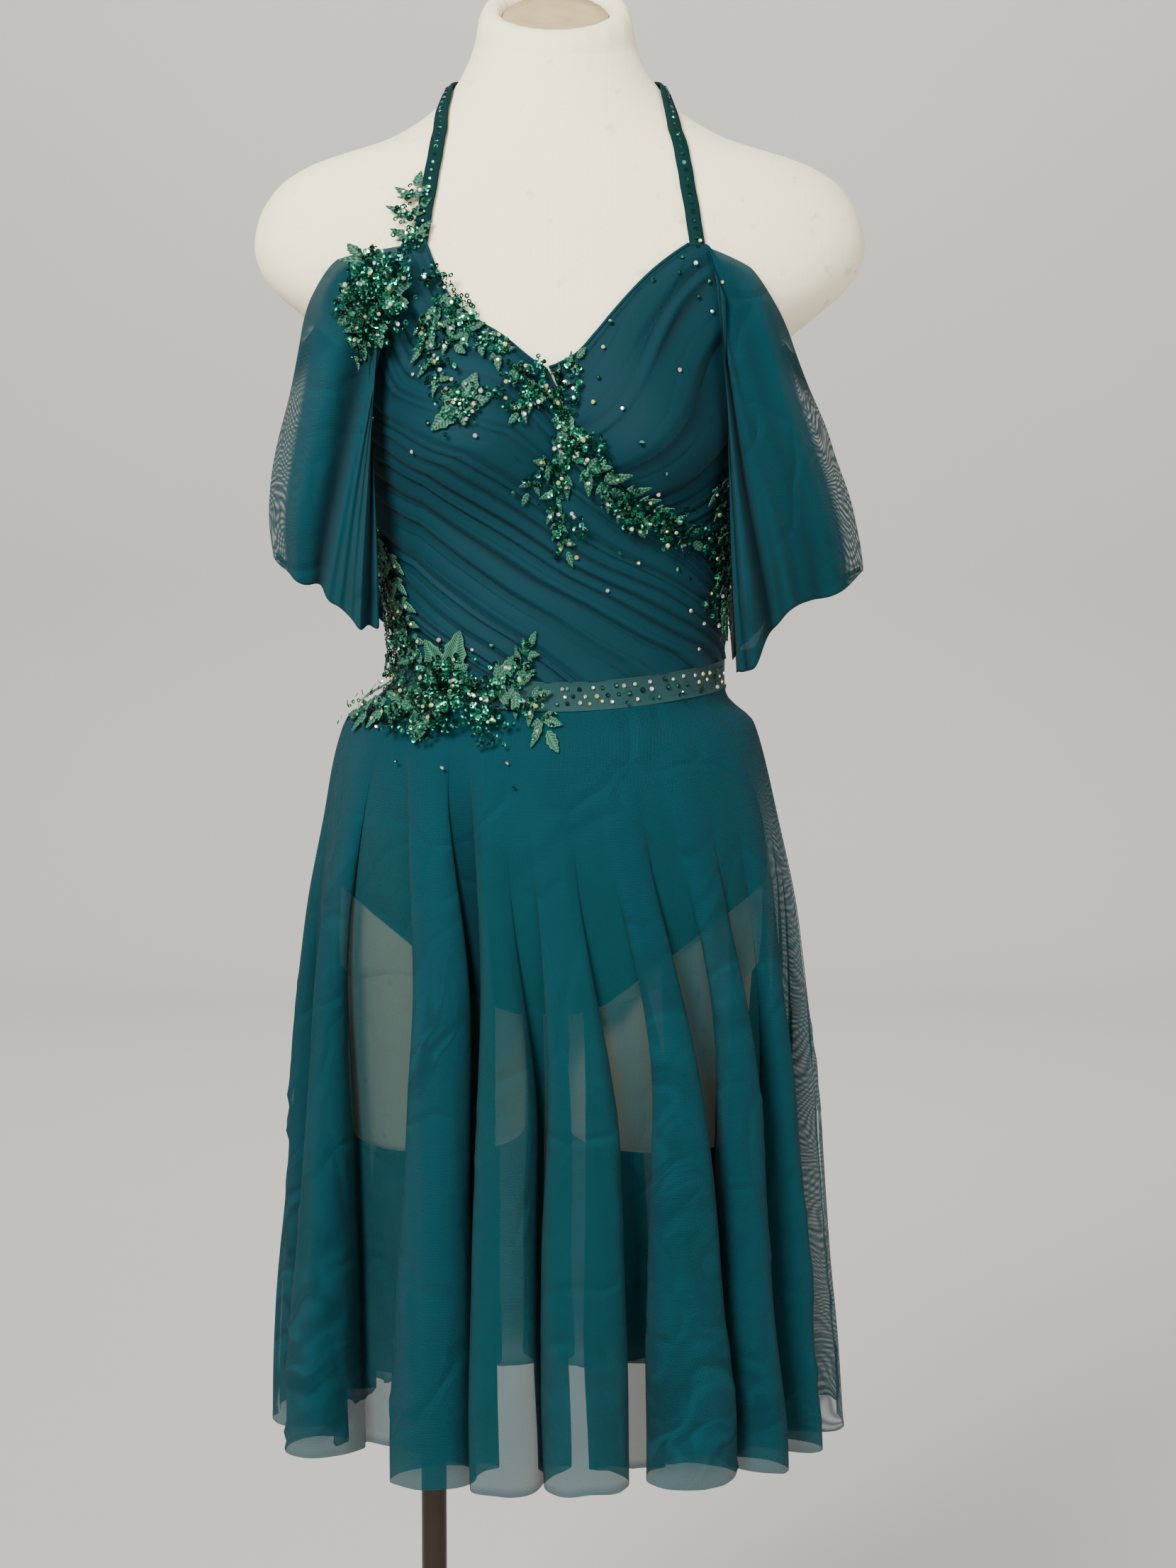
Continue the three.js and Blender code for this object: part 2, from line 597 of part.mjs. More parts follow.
function briefs(rows, facing) {
  const levels = [];
  for (let k = 0; k < 4; k++) levels.push({ share: k / 4 });
  rows.forEach((row) => levels.push(row));
  GUSSET.forEach((row) => levels.push({ ...row, y: row.y * (facing > 0 ? -1 : 1), strip: true }));
  const count = levels.length - 1;
  return clothWall(14, count, (u, v) => {
    const level = levels[Math.round(v * count)];
    const across = 2 * u - 1;
    if (level.strip) {
      const x = side(level.z) + across * level.half;
      const lean = Math.abs(level.y) > 50 ? 0.55 : 0;
      const out = new THREE.Vector3(0, Math.sign(level.y) * lean, -1).normalize().multiplyScalar(CLOTH);
      const inner = new THREE.Vector3(x, level.y, level.z);
      return [inner, inner.clone().add(out)];
    }
    let angle;
    let z;
    if (level.share !== undefined) {
      angle = across * QUARTER;
      z = mix((facing > 0 ? waistFoot(angle) : WAIST_TOP - BAND_HEIGHT) - SEAM, rows[0].z, level.share);
    } else {
      z = level.z;
      const edge = facing > 0 ? angleAt(side(z) + level.half, z) : backAngleAt(level.half, z);
      angle = across * Math.min(QUARTER, edge);
    }
    if (facing < 0) angle = Math.PI - angle;
    const ease = EASE + 0.6 * smooth(970, 900, z);
    return [off(angle, z, ease), off(angle, z, ease + CLOTH)];
  });
}

// The same as angleAt for the back: the angle from straight behind where the skin is this far aside.
function backAngleAt(width, z) {
  let low = 0;
  let high = Math.PI / 2;
  for (let i = 0; i < 30; i++) {
    const middle = (low + high) / 2;
    if (bodyRadius(Math.PI - middle, z) * Math.sin(middle) < width) low = middle;
    else high = middle;
  }
  return low;
}
add("briefs_front", briefs(BRIEF_FRONT, 1), TEAL);
add("briefs_back", briefs(BRIEF_BACK, -1), TEAL);

// ---------------------------------------------------------------- skirt
const skirtSide = column(SKIRT, "side");
const skirtFront = column(SKIRT, "front");
const skirtBack = column(SKIRT, "back");
const skirtDepth = column(SKIRT, "depth");
const skirtShift = column(SKIRT, "shift");
const SKIRT_MEAN = 200; // mean reach of the hem, which turns a fold's width into an angle
const SKIRT_POWER = 2.15; // 2 makes a level of the skirt an ellipse, and more makes it squarer
const RAD = Math.PI / 180;

// How far the crests reach at an angle and a level.
function skirtReach(angle, z) {
  const deep = Math.cos(angle) > 0 ? skirtFront(z) : skirtBack(z);
  const across = (Math.abs(Math.sin(angle)) / skirtSide(z)) ** SKIRT_POWER;
  const along = (Math.abs(Math.cos(angle)) / deep) ** SKIRT_POWER;
  return (across + along) ** (-1 / SKIRT_POWER);
}

// Points of the hem from above, seven for each fold: the angle, and the share of the folds' depth.
function foldLine(folds, from, to) {
  const line = [{ angle: from * RAD, depth: 0.05 }];
  folds.forEach((fold, k) => {
    const angle = fold.at * RAD;
    const wide = fold.half / SKIRT_MEAN;
    if (k > 0) line.push({ angle: angle - wide, depth: 0.42 });
    if (k > 0) line.push({ angle: angle - 0.6 * wide, depth: 0.07 });
    line.push({ angle, depth: 0 });
    const next = folds[k + 1];
    if (!next) return;
    line.push({ angle: angle + 0.6 * wide, depth: 0.07 });
    line.push({ angle: angle + wide, depth: 0.42 });
    const start = angle + wide;
    const end = next.at * RAD - next.half / SKIRT_MEAN;
    const tuck = fold.tuck / SKIRT_MEAN;
    line.push({ angle: start - tuck, depth: 0.88 * fold.valley });
    line.push({ angle: end + tuck, depth: 0.88 * fold.valley });
  });
  line.push({ angle: to * RAD, depth: 0.05 });
  return line;
}

// The angle used for the body, between half a turn to either side of the front.
const turned = (angle) => ((angle + Math.PI) % (2 * Math.PI)) - Math.PI;

function skirtPanel(folds, from, to, rows) {
  const line = foldLine(folds, from, to);
  const columns = line.length - 1;
  const place = (i, v) => {
    const at = line[Math.round(clamp01(i / columns) * columns)];
    const even = mix(from, to, i / columns) * RAD;
    const z = mix(waistFoot(even) - SEAM, HEM, v ** 1.4);
    const grown = i === 0 || i === columns ? 0 : smooth(0.0, 0.6, v);
    const angle = mix(even, at.angle, grown);
    const wanted = skirtReach(angle, z) - skirtDepth(z) * at.depth;
    const clear = z > LEG_END - 10 ? bodyRadius(turned(angle), z) + EASE + CLOTH + 4 : 0;
    const atBand = bodyRadius(turned(angle), z) + EASE + 3.4;
    const r = mix(atBand, Math.max(wanted, clear), smooth(0, 0.04, v));
    return new THREE.Vector3(skirtShift(z) + r * Math.sin(angle), -r * Math.cos(angle), z);
  };
  return clothWall(columns, rows, (u, v) => {
    const i = Math.round(u * columns);
    const here = place(i, v);
    const around = place(Math.min(columns, i + 1), v).sub(place(Math.max(0, i - 1), v));
    const down = place(i, Math.min(1, v + 0.01)).sub(place(i, Math.max(0, v - 0.01)));
    return [here, down.cross(around).normalize().multiplyScalar(CLOTH).add(here)];
  });
}
const HALF_SEAM = 0.35; // degrees from a side seam to the edge of each panel
add("skirt_front", skirtPanel(FRONT_FOLDS, -90 + HALF_SEAM, 90 - HALF_SEAM, 8), TEAL);
add("skirt_back", skirtPanel(BACK_FOLDS, 90 + HALF_SEAM, 270 - HALF_SEAM, 6), TEAL);

// ---------------------------------------------------------------- sleeves
const SLEEVE_FOLDS = 8; // waves all round
const SLEEVE_DEPTH = 6.5; // of the waves at the hem, to each side
const ARM = { x: 165, y: 5 };

function sleeve(rows, hand) {
  const axes = ["top", "hem"].map((key) =>
    [0, 1, 2].map((axis) => column(rows.map((row) => ({ at: row.at, value: row[key][axis] })), "value", "at")),
  );
  const point = ([x, y, z], u) => new THREE.Vector3(x(u), y(u), z(u));
  const sheet = (u, v) => {
    const at = point(axes[0], u).lerp(point(axes[1], u), v);
    const out = new THREE.Vector3(at.x - ARM.x, at.y - ARM.y, 0).normalize();
    const wave = Math.cos(u * SLEEVE_FOLDS * 2 * Math.PI) * SLEEVE_DEPTH * v * (1.25 - 0.25 * v);
    const belly = 7 * Math.sin(Math.PI * v);
    at.addScaledVector(out, wave + belly);
    at.x *= hand;
    return at;
  };
  return sheetWall(40, 6, hand > 0 ? sheet : (u, v) => sheet(1 - u, v));
}
add("sleeve_left", sleeve(LEFT_SLEEVE, -1), TEAL);
add("sleeve_right", sleeve(RIGHT_SLEEVE, 1), TEAL);

// ---------------------------------------------------------------- halter strap
const STRAP = { width: 11, thickness: 2, gap: 2.2 };
const STRAP_PATH = [
  { x: 96.5, z: 1305 },
  { x: 94, z: 1322 },
  { x: 90, z: 1345 },
  { x: 85, z: 1372 },
  { x: 79, z: 1396 },
];
const STRAP_NECK = [
  { angle: 1.42, z: 1415 },
  { angle: 1.9, z: 1423 },
  { angle: 2.5, z: 1428 },
  { angle: Math.PI - 0.006, z: 1430 },
];

function strap(hand) {
  const stations = [
    ...STRAP_PATH.map(({ x, z }) => onBody(angleAt(x, z), z)),
    ...STRAP_NECK.map(({ angle, z }) => onBody(angle, z)),
  ];
  const route = seam(stations);
  const steps = 26;
  const at = (t, distance) => {
    const p = route.getPoint(clamp01(t));
    return off((hand * p.x) / ARC, p.y, distance);
  };
  const rings = Array.from({ length: steps + 1 }, (_, i) => {
    const t = i / steps;
    const along = at(t + 0.01, 0).sub(at(t - 0.01, 0));
    const out = at(t, 1).sub(at(t, 0)).normalize();
    const wide = along.cross(out).normalize().multiplyScalar(STRAP.width / 2);
    const low = out.clone().multiplyScalar(STRAP.gap);
    const high = out.clone().multiplyScalar(STRAP.gap + STRAP.thickness);
    const middle = at(t, 0);
    return [
      middle.clone().add(wide).add(low),
      middle.clone().sub(wide).add(low),
      middle.clone().sub(wide).add(high),
      middle.clone().add(wide).add(high),
    ];
  });
  return loft(rings);
}
add("strap_left", strap(-1), TEAL);
add("strap_right", strap(1), TEAL);

// ---------------------------------------------------------------- applique
const LACE_FOOT = EASE + CLOTH + HIGHEST_FOLD + LACE_GAP;

// A point of the applique at a seam-line place, clear of the skirt's top where it hangs over it.
function lacePoint(x, z, rise) {
  const angle = x / ARC;
  const p = off(angle, z, LACE_FOOT + rise);
  if (z > waistFoot(angle) + 4) return p;
  const reach = skirtReach(angle, z) + CLOTH + 2.6 + rise;
  const r = Math.hypot(p.x - skirtShift(z), p.y);
  const grow = Math.max(1, reach / r);
  return new THREE.Vector3(skirtShift(z) + (p.x - skirtShift(z)) * grow, p.y * grow, z);
}

// A flat motif from its outline at seam-line places. A flower also has a raised middle.
function motif(outline, lift, middle) {
  const n = outline.length;
  const points = [0, LACE].flatMap((rise) => outline.map(({ x, y }) => lacePoint(x, y, lift + rise)));
  const faces = outline.flatMap((_, i) => quad(i, (i + 1) % n, n + ((i + 1) % n), n + i));
  if (middle) {
    points.push(lacePoint(middle.x, middle.y, lift));
    points.push(lacePoint(middle.x, middle.y, lift + LACE + LACE_RISE));
    for (let i = 0; i < n; i++) {
      const j = (i + 1) % n;
      faces.push([j, i, 2 * n], [n + i, n + j, 2 * n + 1]);
    }
  } else {
    for (const [a, b, c] of THREE.ShapeUtils.triangulateShape(outline, []))
      faces.push([a, c, b], [n + a, n + b, n + c]);
  }
  return solid(points, faces);
}

// Petals round a middle: each goes from a notch over its widest part to a soft point.
const PETAL = [
  { share: 0, reach: 0.42 },
  { share: 0.22, reach: 0.82 },
  { share: 0.5, reach: 1 },
  { share: 0.78, reach: 0.82 },
];
function flower({ at, radius, petals, turn = 0, lift = 0 }) {
  const [middle] = places([at]);
  const outline = Array.from({ length: petals * PETAL.length }, (_, i) => {
    const { share, reach } = PETAL[i % PETAL.length];
    const angle = turn + ((Math.floor(i / PETAL.length) + share) / petals) * 2 * Math.PI;
    return new THREE.Vector2(Math.cos(angle), Math.sin(angle)).multiplyScalar(reach * radius).add(middle);
  });
  return motif(outline, lift, middle);
}

// Leaves on both sides of a stem and one at its tip, as one outline.
const LEAF_TURN = 0.85;
function spray({ stem, leaves, length, sideways, lift = 0 }) {
  const points = sideways ? stem.map(([x, z]) => new THREE.Vector2(x, z)) : places(stem);
  const line = new THREE.SplineCurve(points);
  const leaf = (share, hand, size) => {
    const foot = line.getPointAt(share);
    const along = line.getTangentAt(share);
    const axis = along.clone().rotateAround(new THREE.Vector2(), hand * LEAF_TURN);
    const across = new THREE.Vector2(-axis.y, axis.x).multiplyScalar(hand * size * 0.21);
    const beside = new THREE.Vector2(-along.y, along.x).multiplyScalar(hand * 1.6);
    const spot = (reach, aside) =>
      foot.clone().addScaledVector(axis, reach * size).addScaledVector(across, aside);
    const start = foot.clone().add(beside).addScaledVector(along, -2.2);
    const end = foot.clone().add(beside).addScaledVector(along, 2.2);
    return [end, spot(0.6, -1), spot(1, 0), spot(0.6, 1), start];
  };
  const shares = Array.from({ length: leaves }, (_, i) => (i + 0.35) / leaves);
  const sizes = shares.map((share) => length * (1 - 0.3 * share));
  const right = shares.flatMap((share, i) => leaf(share, -1, sizes[i]).reverse());
  const left = shares.flatMap((share, i) => leaf(share, 1, sizes[i]).reverse()).reverse();
  const end = line.getPointAt(1);
  const last = line.getTangentAt(1);
  const across = new THREE.Vector2(-last.y, last.x);
  const tip = [
    end.clone().addScaledVector(across, -length * 0.17).addScaledVector(last, length * 0.2),
    end.clone().addScaledVector(last, length * 0.7),
    end.clone().addScaledVector(across, length * 0.17).addScaledVector(last, length * 0.2),
  ];
  return motif([line.getPointAt(0), ...right, ...tip, ...left], lift);
}

const places = (points) => points.map(([x, z]) => atFront([x, z]));

// Places of the applique are x and z as seen from the front, or on the seam plane for a sideways spray.
const FLOWERS = [
  { name: "lace_shoulder", at: [-114, 1264], radius: 31, petals: 6, turn: 0.4, lift: 10.3 },
  { name: "lace_left_cup", at: [-66, 1184], radius: 17, petals: 5, turn: 0.2, lift: -1.75 },
  { name: "lace_bust", at: [9, 1158], radius: 20, petals: 5, turn: 0.5, lift: -1.35 },
  { name: "lace_waist", at: [-79, 990], radius: 34, petals: 7, turn: 0.1, lift: -0.7 },
];
const SPRAYS = [
  {
    name: "lace_strap_spray",
    stem: [[-101, 1303], [-102, 1316], [-104, 1328], [-100, 1340]],
    leaves: 2,
    length: 13,
    lift: -3.4,
  },
  {
    name: "lace_neckline",
    stem: [[-78, 1252], [-64, 1236], [-44, 1223], [-22, 1202]],
    leaves: 4,
    length: 15,
    lift: -0.85,
  },
  {
    name: "lace_left_cup_spray",
    stem: [[-90, 1228], [-89, 1219], [-85, 1209]],
    leaves: 2,
    length: 11,
    lift: -0.85,
  },
  {
    name: "lace_bust_spray",
    stem: [[2, 1180], [-2, 1194], [6, 1206], [14, 1218]],
    leaves: 3,
    length: 13,
    lift: -1.3,
  },
  {
    name: "lace_below_bust",
    stem: [[4, 1136], [-3, 1122], [-1, 1106], [6, 1088]],
    leaves: 4,
    length: 14,
    lift: -1.85,
  },
  {
    name: "lace_diagonal",
    stem: [[28, 1142], [46, 1128], [66, 1114], [88, 1096]],
    leaves: 5,
    length: 16,
    lift: 1.5,
  },
  {
    name: "lace_side",
    stem: [[111, 1134], [114, 1104], [115, 1072], [113, 1042]],
    leaves: 6,
    length: 13,
    lift: -1.4,
  },
  {
    name: "lace_waist_side",
    sideways: true,
    stem: [[-178, 1094], [-182, 1060], [-172, 1030], [-174, 1000]],
    leaves: 5,
    length: 24,
    lift: -0.85,
  },
  {
    name: "lace_waist_spray",
    stem: [[-43, 992], [-30, 990], [-16, 976], [-8, 962]],
    leaves: 3,
    length: 22,
    lift: -0.9,
  },
];
for (const { name, ...size } of FLOWERS) add(name, flower(size), LACE_GREEN);
for (const { name, ...size } of SPRAYS) add(name, spray(size), LACE_GREEN);

export default group;
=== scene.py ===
# %% [markdown]
# # A lyrical dance costume on a dress form
# This lesson dresses a finished frame of solids with cloth, lace and stones. The frame gives the size and the
# place of each part, and everything below is built to the same measures, so nothing has to be fitted by eye.
# We start by loading the frame.

import math

import bmesh
import bpy
import numpy as np
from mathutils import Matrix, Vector


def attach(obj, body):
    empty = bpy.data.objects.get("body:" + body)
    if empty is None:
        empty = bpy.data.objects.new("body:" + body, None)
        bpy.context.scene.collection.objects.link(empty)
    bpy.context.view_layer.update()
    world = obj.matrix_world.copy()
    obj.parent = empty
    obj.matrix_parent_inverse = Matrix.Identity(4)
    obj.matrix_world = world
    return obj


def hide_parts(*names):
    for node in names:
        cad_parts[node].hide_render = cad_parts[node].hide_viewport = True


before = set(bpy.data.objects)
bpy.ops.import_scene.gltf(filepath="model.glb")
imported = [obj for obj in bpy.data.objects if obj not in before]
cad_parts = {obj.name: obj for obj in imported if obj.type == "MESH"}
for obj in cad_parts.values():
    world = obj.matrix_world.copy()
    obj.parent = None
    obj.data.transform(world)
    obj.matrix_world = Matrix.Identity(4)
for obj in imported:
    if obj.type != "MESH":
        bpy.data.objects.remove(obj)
bpy.context.view_layer.update()

# %% [markdown]
# ## The camera
# A camera as far away as a person standing in front of the form, at chest height, tilted a little down.
# The focal length follows from the distance and from how much of the costume fills the upright frame.

# %% Set the camera
CAMERA_AT = (20.7, -2100.0, 1090.0)
CAMERA_TILT = math.radians(4.82)
FRAME = (1659, 2212)
FOCAL_PIXELS = 4004.0
camera_data = bpy.data.cameras.new("camera")
camera_data.sensor_width = 36
camera_data.lens = 65.16
camera = bpy.data.objects.new("camera", camera_data)
camera.location = [value / 1000 for value in CAMERA_AT]
camera.rotation_euler = (math.pi / 2 - CAMERA_TILT, 0, 0)
bpy.context.scene.collection.objects.link(camera)
bpy.context.scene.camera = camera

# %% [markdown]
# ## Measures
# All sizes are in millimetres, as a pattern cutter would write them. The figure is a table of body sections:
# half its width, its depth before and behind the middle, how square it is, and how far its middle lies aside.

# %% Sizes of the cloth and the seams
CLOTH = 1.5
EASE = 2.6
SEAM = 0.3
ARC = 130
WAIST_TOP = 1007
WAIST_DIP = 15
BAND_HEIGHT = 20
HEM = 435
LEG_END = 650
LACE_FOOT = EASE + CLOTH + 4.0
ROD_X = -96
QUARTER = math.pi / 2
FORM_SIDES = 120
THIGH_SIDES = 64
SKIRT_POWER = 2.15
HEM_REACH = 200
ARM_MIDDLE = (165, 5)

FIGURE = """
z    half front back power side
1500 54  46 60  2.0  -3
1477 54  47 61  2.0  -3
1455 58  48 64  2.0  -3
1435 65  50 68  2.0  -3
1418 76  54 74  2.0  -2
1402 92  59 82  2.0  -2
1384 122 65 90  2.0  -1
1364 182 70 96  2.1  0
1348 206 74 99  2.1  0
1324 220 79 102 2.2  0
1306 223 82 104 2.2  0
1290 219 85 105 2.2  0
1273 207 88 105 2.2  0
1256 187 91 105 2.2  0
1238 166 93 104 2.25 0
1218 152 95 103 2.3  0
1195 145 97 101 2.3  0
1167 140 98 98  2.3  0
1125 133 95 93  2.3  0
1087 127 91 89  2.25 0
1050 121 88 86  2.2  0
1012 117 87 86  2.2  0
985  119 89 90  2.2  -2
950  130 95 101 2.2  -5
915  144 101 113 2.25 -6
880  153 104 121 2.3 -6
845  156 103 123 2.4 -6
810  157 99 118 2.5  -7
775  155 94 108 2.6  -8
740  153 88 98  2.7  -9
700  151 84 92  2.7  -10
640  149 82 88  2.7  -10
"""
SKIRT = """
z   side front back depth shift
992 124 95  95  0   -1
980 137 96  104 0.5 -5
968 147 98  113 1.5 -8
940 157 111 124 6   -8
893 167 126 141 13  -7
817 182 143 154 23  -6
725 193 158 166 32  -5
632 200 170 175 39  -4
556 206 179 183 44  -4
435 214 190 193 50  -1.5
"""
BUST = dict(angle=0.56, level=1163, rise=27, spread=0.4, above=60, below=42)

# %% [markdown]
# ## Small tools
# A table becomes smooth curves, one for each named column. The curve never swings past its rows, so a waist
# stays as narrow as the table says. The same tool serves the body, the skirt and the sleeves.


# %% Read tables and draw curves through them
def rows_of(text):
    lines = [line.split() for line in text.strip().splitlines()]
    return [dict(zip(lines[0], map(float, line))) for line in lines[1:]]


def smooth(start, end, t):
    k = np.clip((np.asarray(t, float) - start) / (end - start), 0, 1)
    return k * k * (3 - 2 * k)


def mix(a, b, t):
    return a + (b - a) * t


def circle(sides):
    return np.linspace(0, 2 * math.pi, sides, endpoint=False)


def unit_grid(columns, rows):
    return np.meshgrid(np.linspace(0, 1, columns), np.linspace(0, 1, rows))


def run_length(line):
    return np.concatenate([[0], np.cumsum(np.linalg.norm(np.diff(line, axis=0), axis=1))])


def column(rows, key, along="z"):
    rows = sorted(rows, key=lambda row: row[along])
    x = np.array([row[along] for row in rows], float)
    y = np.array([row[key] for row in rows], float)
    slope = np.diff(y) / np.diff(x)
    bend = np.zeros(len(x))
    for i in range(1, len(x) - 1):
        if slope[i - 1] * slope[i] > 0:
            bend[i] = 2 * slope[i - 1] * slope[i] / (slope[i - 1] + slope[i])

    def at(value):
        value = np.clip(value, x[0], x[-1])
        i = np.clip(np.searchsorted(x, value, side="right") - 1, 0, len(x) - 2)
        step = x[i + 1] - x[i]
        t = (value - x[i]) / step
        bent = step * t * (1 - t) * (bend[i] * (1 - t) - bend[i + 1] * t)
        return y[i] + (y[i + 1] - y[i]) * t * t * (3 - 2 * t) + bent

    return at


figure_rows = rows_of(FIGURE)
half, front, back, power, side = (
    column(figure_rows, key) for key in ("half", "front", "back", "power", "side")
)

# %% [markdown]
# ## The figure
# A point on the body is found from an angle, zero at the front, and a level. Cloth is placed straight out from
# the skin, because a distance measured along the surface's own normal is what a tape and pins would give.


# %% Find points on the body
def bust_rise(angle, z):
    turn = (np.abs(angle) - BUST["angle"]) / BUST["spread"]
    rise = (z - BUST["level"]) / np.where(z > BUST["level"], BUST["above"], BUST["below"])
    return BUST["rise"] * np.exp(-turn * turn - rise * rise) * smooth(0, 0.4, np.cos(angle))


def turned(angle):
    return (np.asarray(angle, float) + math.pi) % (2 * math.pi) - math.pi


def body_radius(angle, z):
    angle = turned(angle)
    across = np.abs(np.sin(angle)) / half(z)
    deep = np.abs(np.cos(angle)) / np.where(np.cos(angle) > 0, front(z), back(z))
    n = power(z)
    return (across**n + deep**n) ** (-1 / n) + bust_rise(angle, z)


def skin(angle, z):
    r = body_radius(angle, z)
    return np.stack([side(z) + r * np.sin(angle), -r * np.cos(angle), z + 0 * r], -1)


def unit(v):
    return v / np.maximum(np.linalg.norm(v, axis=-1, keepdims=True), 1e-9)


def off(angle, z, rise):
    angle, z = np.broadcast_arrays(np.asarray(angle, float), np.asarray(z, float))
    around = skin(angle + 0.01, z) - skin(angle - 0.01, z)
    up = skin(angle, z + 1) - skin(angle, z - 1)
    out = unit(np.cross(around, up))
    return skin(angle, z) + out * (rise + 0.05 * bust_rise(turned(angle), z))[..., None]


def angle_at(x, z):
    """The angle at which the front of the body lies this far aside, by halving the range again and again."""
    x, z = np.broadcast_arrays(np.asarray(x, float), np.asarray(z, float))
    wanted = np.abs(x - side(z))
    low, high = np.zeros(x.shape), np.full(x.shape, math.pi / 2)
    for _ in range(26):
        middle = (low + high) / 2
        short = body_radius(middle, z) * np.sin(middle) < wanted
        low, high = np.where(short, middle, low), np.where(short, high, middle)
    return np.copysign(low, x - side(z))


def at_front(x, z):
    return (float(angle_at(x, z)) * ARC, z)


# %% [markdown]
# ## From points to objects
# Cloth is a grid of points, a tube is a grid that closes on itself. Each object gets a flat pattern map called
# `cloth` in metres, so a weave keeps its scale wherever the cloth stretches.

# %% Make meshes
made = {}


def new_object(name, points, faces, pattern=None, smooth_shading=True):
    mesh = bpy.data.meshes.new(name)
    mesh.from_pydata([tuple(p / 1000) for p in np.asarray(points, float)], [], faces)
    if smooth_shading:
        mesh.polygons.foreach_set("use_smooth", [True] * len(mesh.polygons))
    if pattern is not None:
        layer = mesh.uv_layers.new(name="cloth")
        index = np.zeros(len(mesh.loops), int)
        mesh.loops.foreach_get("vertex_index", index)
        layer.data.foreach_set("uv", (np.asarray(pattern)[index] / 1000).ravel())
    mesh.update()
    made_object = bpy.data.objects.new(name, mesh)
    bpy.context.scene.collection.objects.link(made_object)
    made[name] = made_object
    return made_object


def grid_faces(rows, columns, around=False):
    i = np.arange(columns if around else columns - 1)
    j = np.arange(rows - 1)[:, None]
    nxt = (i + 1) % columns
    here, below = j * columns, (j + 1) * columns
    quads = np.stack([here + i, here + nxt, below + nxt, below + i], -1)
    return quads.reshape(-1, 4).tolist()


def capped(rows, sides):
    """The faces of a closed tube, with one face at each end."""
    ends = [list(range(sides))[::-1], list(range((rows - 1) * sides, rows * sides))]
    return grid_faces(rows, sides, around=True) + ends


def pattern_of(grid):
    down = np.linalg.norm(np.diff(grid, axis=0), axis=-1).mean(1)
    across = np.linalg.norm(np.diff(grid, axis=1), axis=-1)
    v = np.concatenate([[0], np.cumsum(down)])
    u = np.concatenate([np.zeros((grid.shape[0], 1)), np.cumsum(across, axis=1)], 1)
    u = u - u[:, -1:] / 2
    return np.stack([u, np.repeat(v[:, None], grid.shape[1], 1)], -1).reshape(-1, 2)


def keep_numbers(piece, key, values):
    layer = piece.data.attributes.new(key, "FLOAT", "POINT")
    layer.data.foreach_set("value", values.astype(np.float32))


def cloth_sheet(name, grid, **masks):
    piece = new_object(name, grid.reshape(-1, 3), grid_faces(*grid.shape[:2]), pattern_of(grid))
    for key, mask in masks.items():
        keep_numbers(piece, key, np.broadcast_to(mask, grid.shape[:2]).ravel())


def tube(name, path, radius, sides=8):
    path = np.asarray(path, float)
    along = unit(np.gradient(path, axis=0))
    hint = np.array([0.0, 0.0, 1.0])
    one = unit(np.cross(along, hint + 1e-4))
    two = np.cross(along, one)
    turn = circle(sides)
    ring = one[:, None] * np.cos(turn)[:, None] + two[:, None] * np.sin(turn)[:, None]
    grid = path[:, None] + ring * radius
    new_object(name, grid.reshape(-1, 3), capped(len(path), sides), np.zeros((len(path) * sides, 2)))


def place(name, slot, *nodes):
    piece = made[name]
    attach(piece, "root")
    if nodes:
        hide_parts(*nodes)


def surface_area(piece):
    bm = bmesh.new()
    bm.from_mesh(piece.data)
    total = sum(face.calc_area() for face in bm.faces)
    bm.free()
    return total


# %% [markdown]
# Soft irregularity makes cloth believable. A sum of a few sine waves with fixed phases gives the same gentle
# waviness on each run, and it costs nothing.


# %% Gentle waviness
def wavy(a, b, seed=0):
    rng = np.random.default_rng(seed)
    total = 0
    for k in range(1, 6):
        p, q, r = rng.uniform(-1, 1, 3)
        total = total + np.sin(k * (a * (0.6 + p * 0.5) + b * (0.6 + q * 0.5)) * 2.2 + 9 * r) / k
    return total / 1.6


# %% [markdown]
# ## The dress form
# The form is a smooth torso with stumps for arms and legs. It is turned up from many body sections, so its curve
# has no facets. The neck is cut at a slant, and its knitted cover is folded in over the rim.

# %% Build the form
NECK_TILT = 0.57
trunk_levels = """
z share
751 0.02
750.5 0.2
751.5 0.42
754 0.62
758 0.77
764 0.88
772 0.96
"""
neck_levels = """
z share
1462 1.01
1468 1.015
1472 1.0
1475.5 0.97
1477.5 0.92
1478.2 0.86
1477.5 0.8
1475 0.755
1470 0.735
1464 0.73
"""


def form_ring(z, share):
    angle = circle(FORM_SIDES)
    ring = skin(angle, np.full(FORM_SIDES, z))
    pucker = 0
    if z > 1455 and share <= 1.02:
        pucker = 0.007 * np.sin(angle * 23 + 2 * np.sin(angle * 3)) * smooth(1458, 1474, z)
    ring[:, 0] = side(z) + (ring[:, 0] - side(z)) * (share + pucker)
    ring[:, 1] *= share + pucker
    ring[:, 2] += ring[:, 1] * NECK_TILT * smooth(1430, 1468, z)
    return ring


levels = [(row["z"], row["share"]) for row in rows_of(trunk_levels)]
levels += [(z, 1) for z in np.linspace(782, 1455, 150)]
levels += [(row["z"], row["share"]) for row in rows_of(neck_levels)]
trunk = np.array([form_ring(z, share) for z, share in levels])
new_object("form_trunk", trunk.reshape(-1, 3), grid_faces(len(levels), FORM_SIDES, around=True))

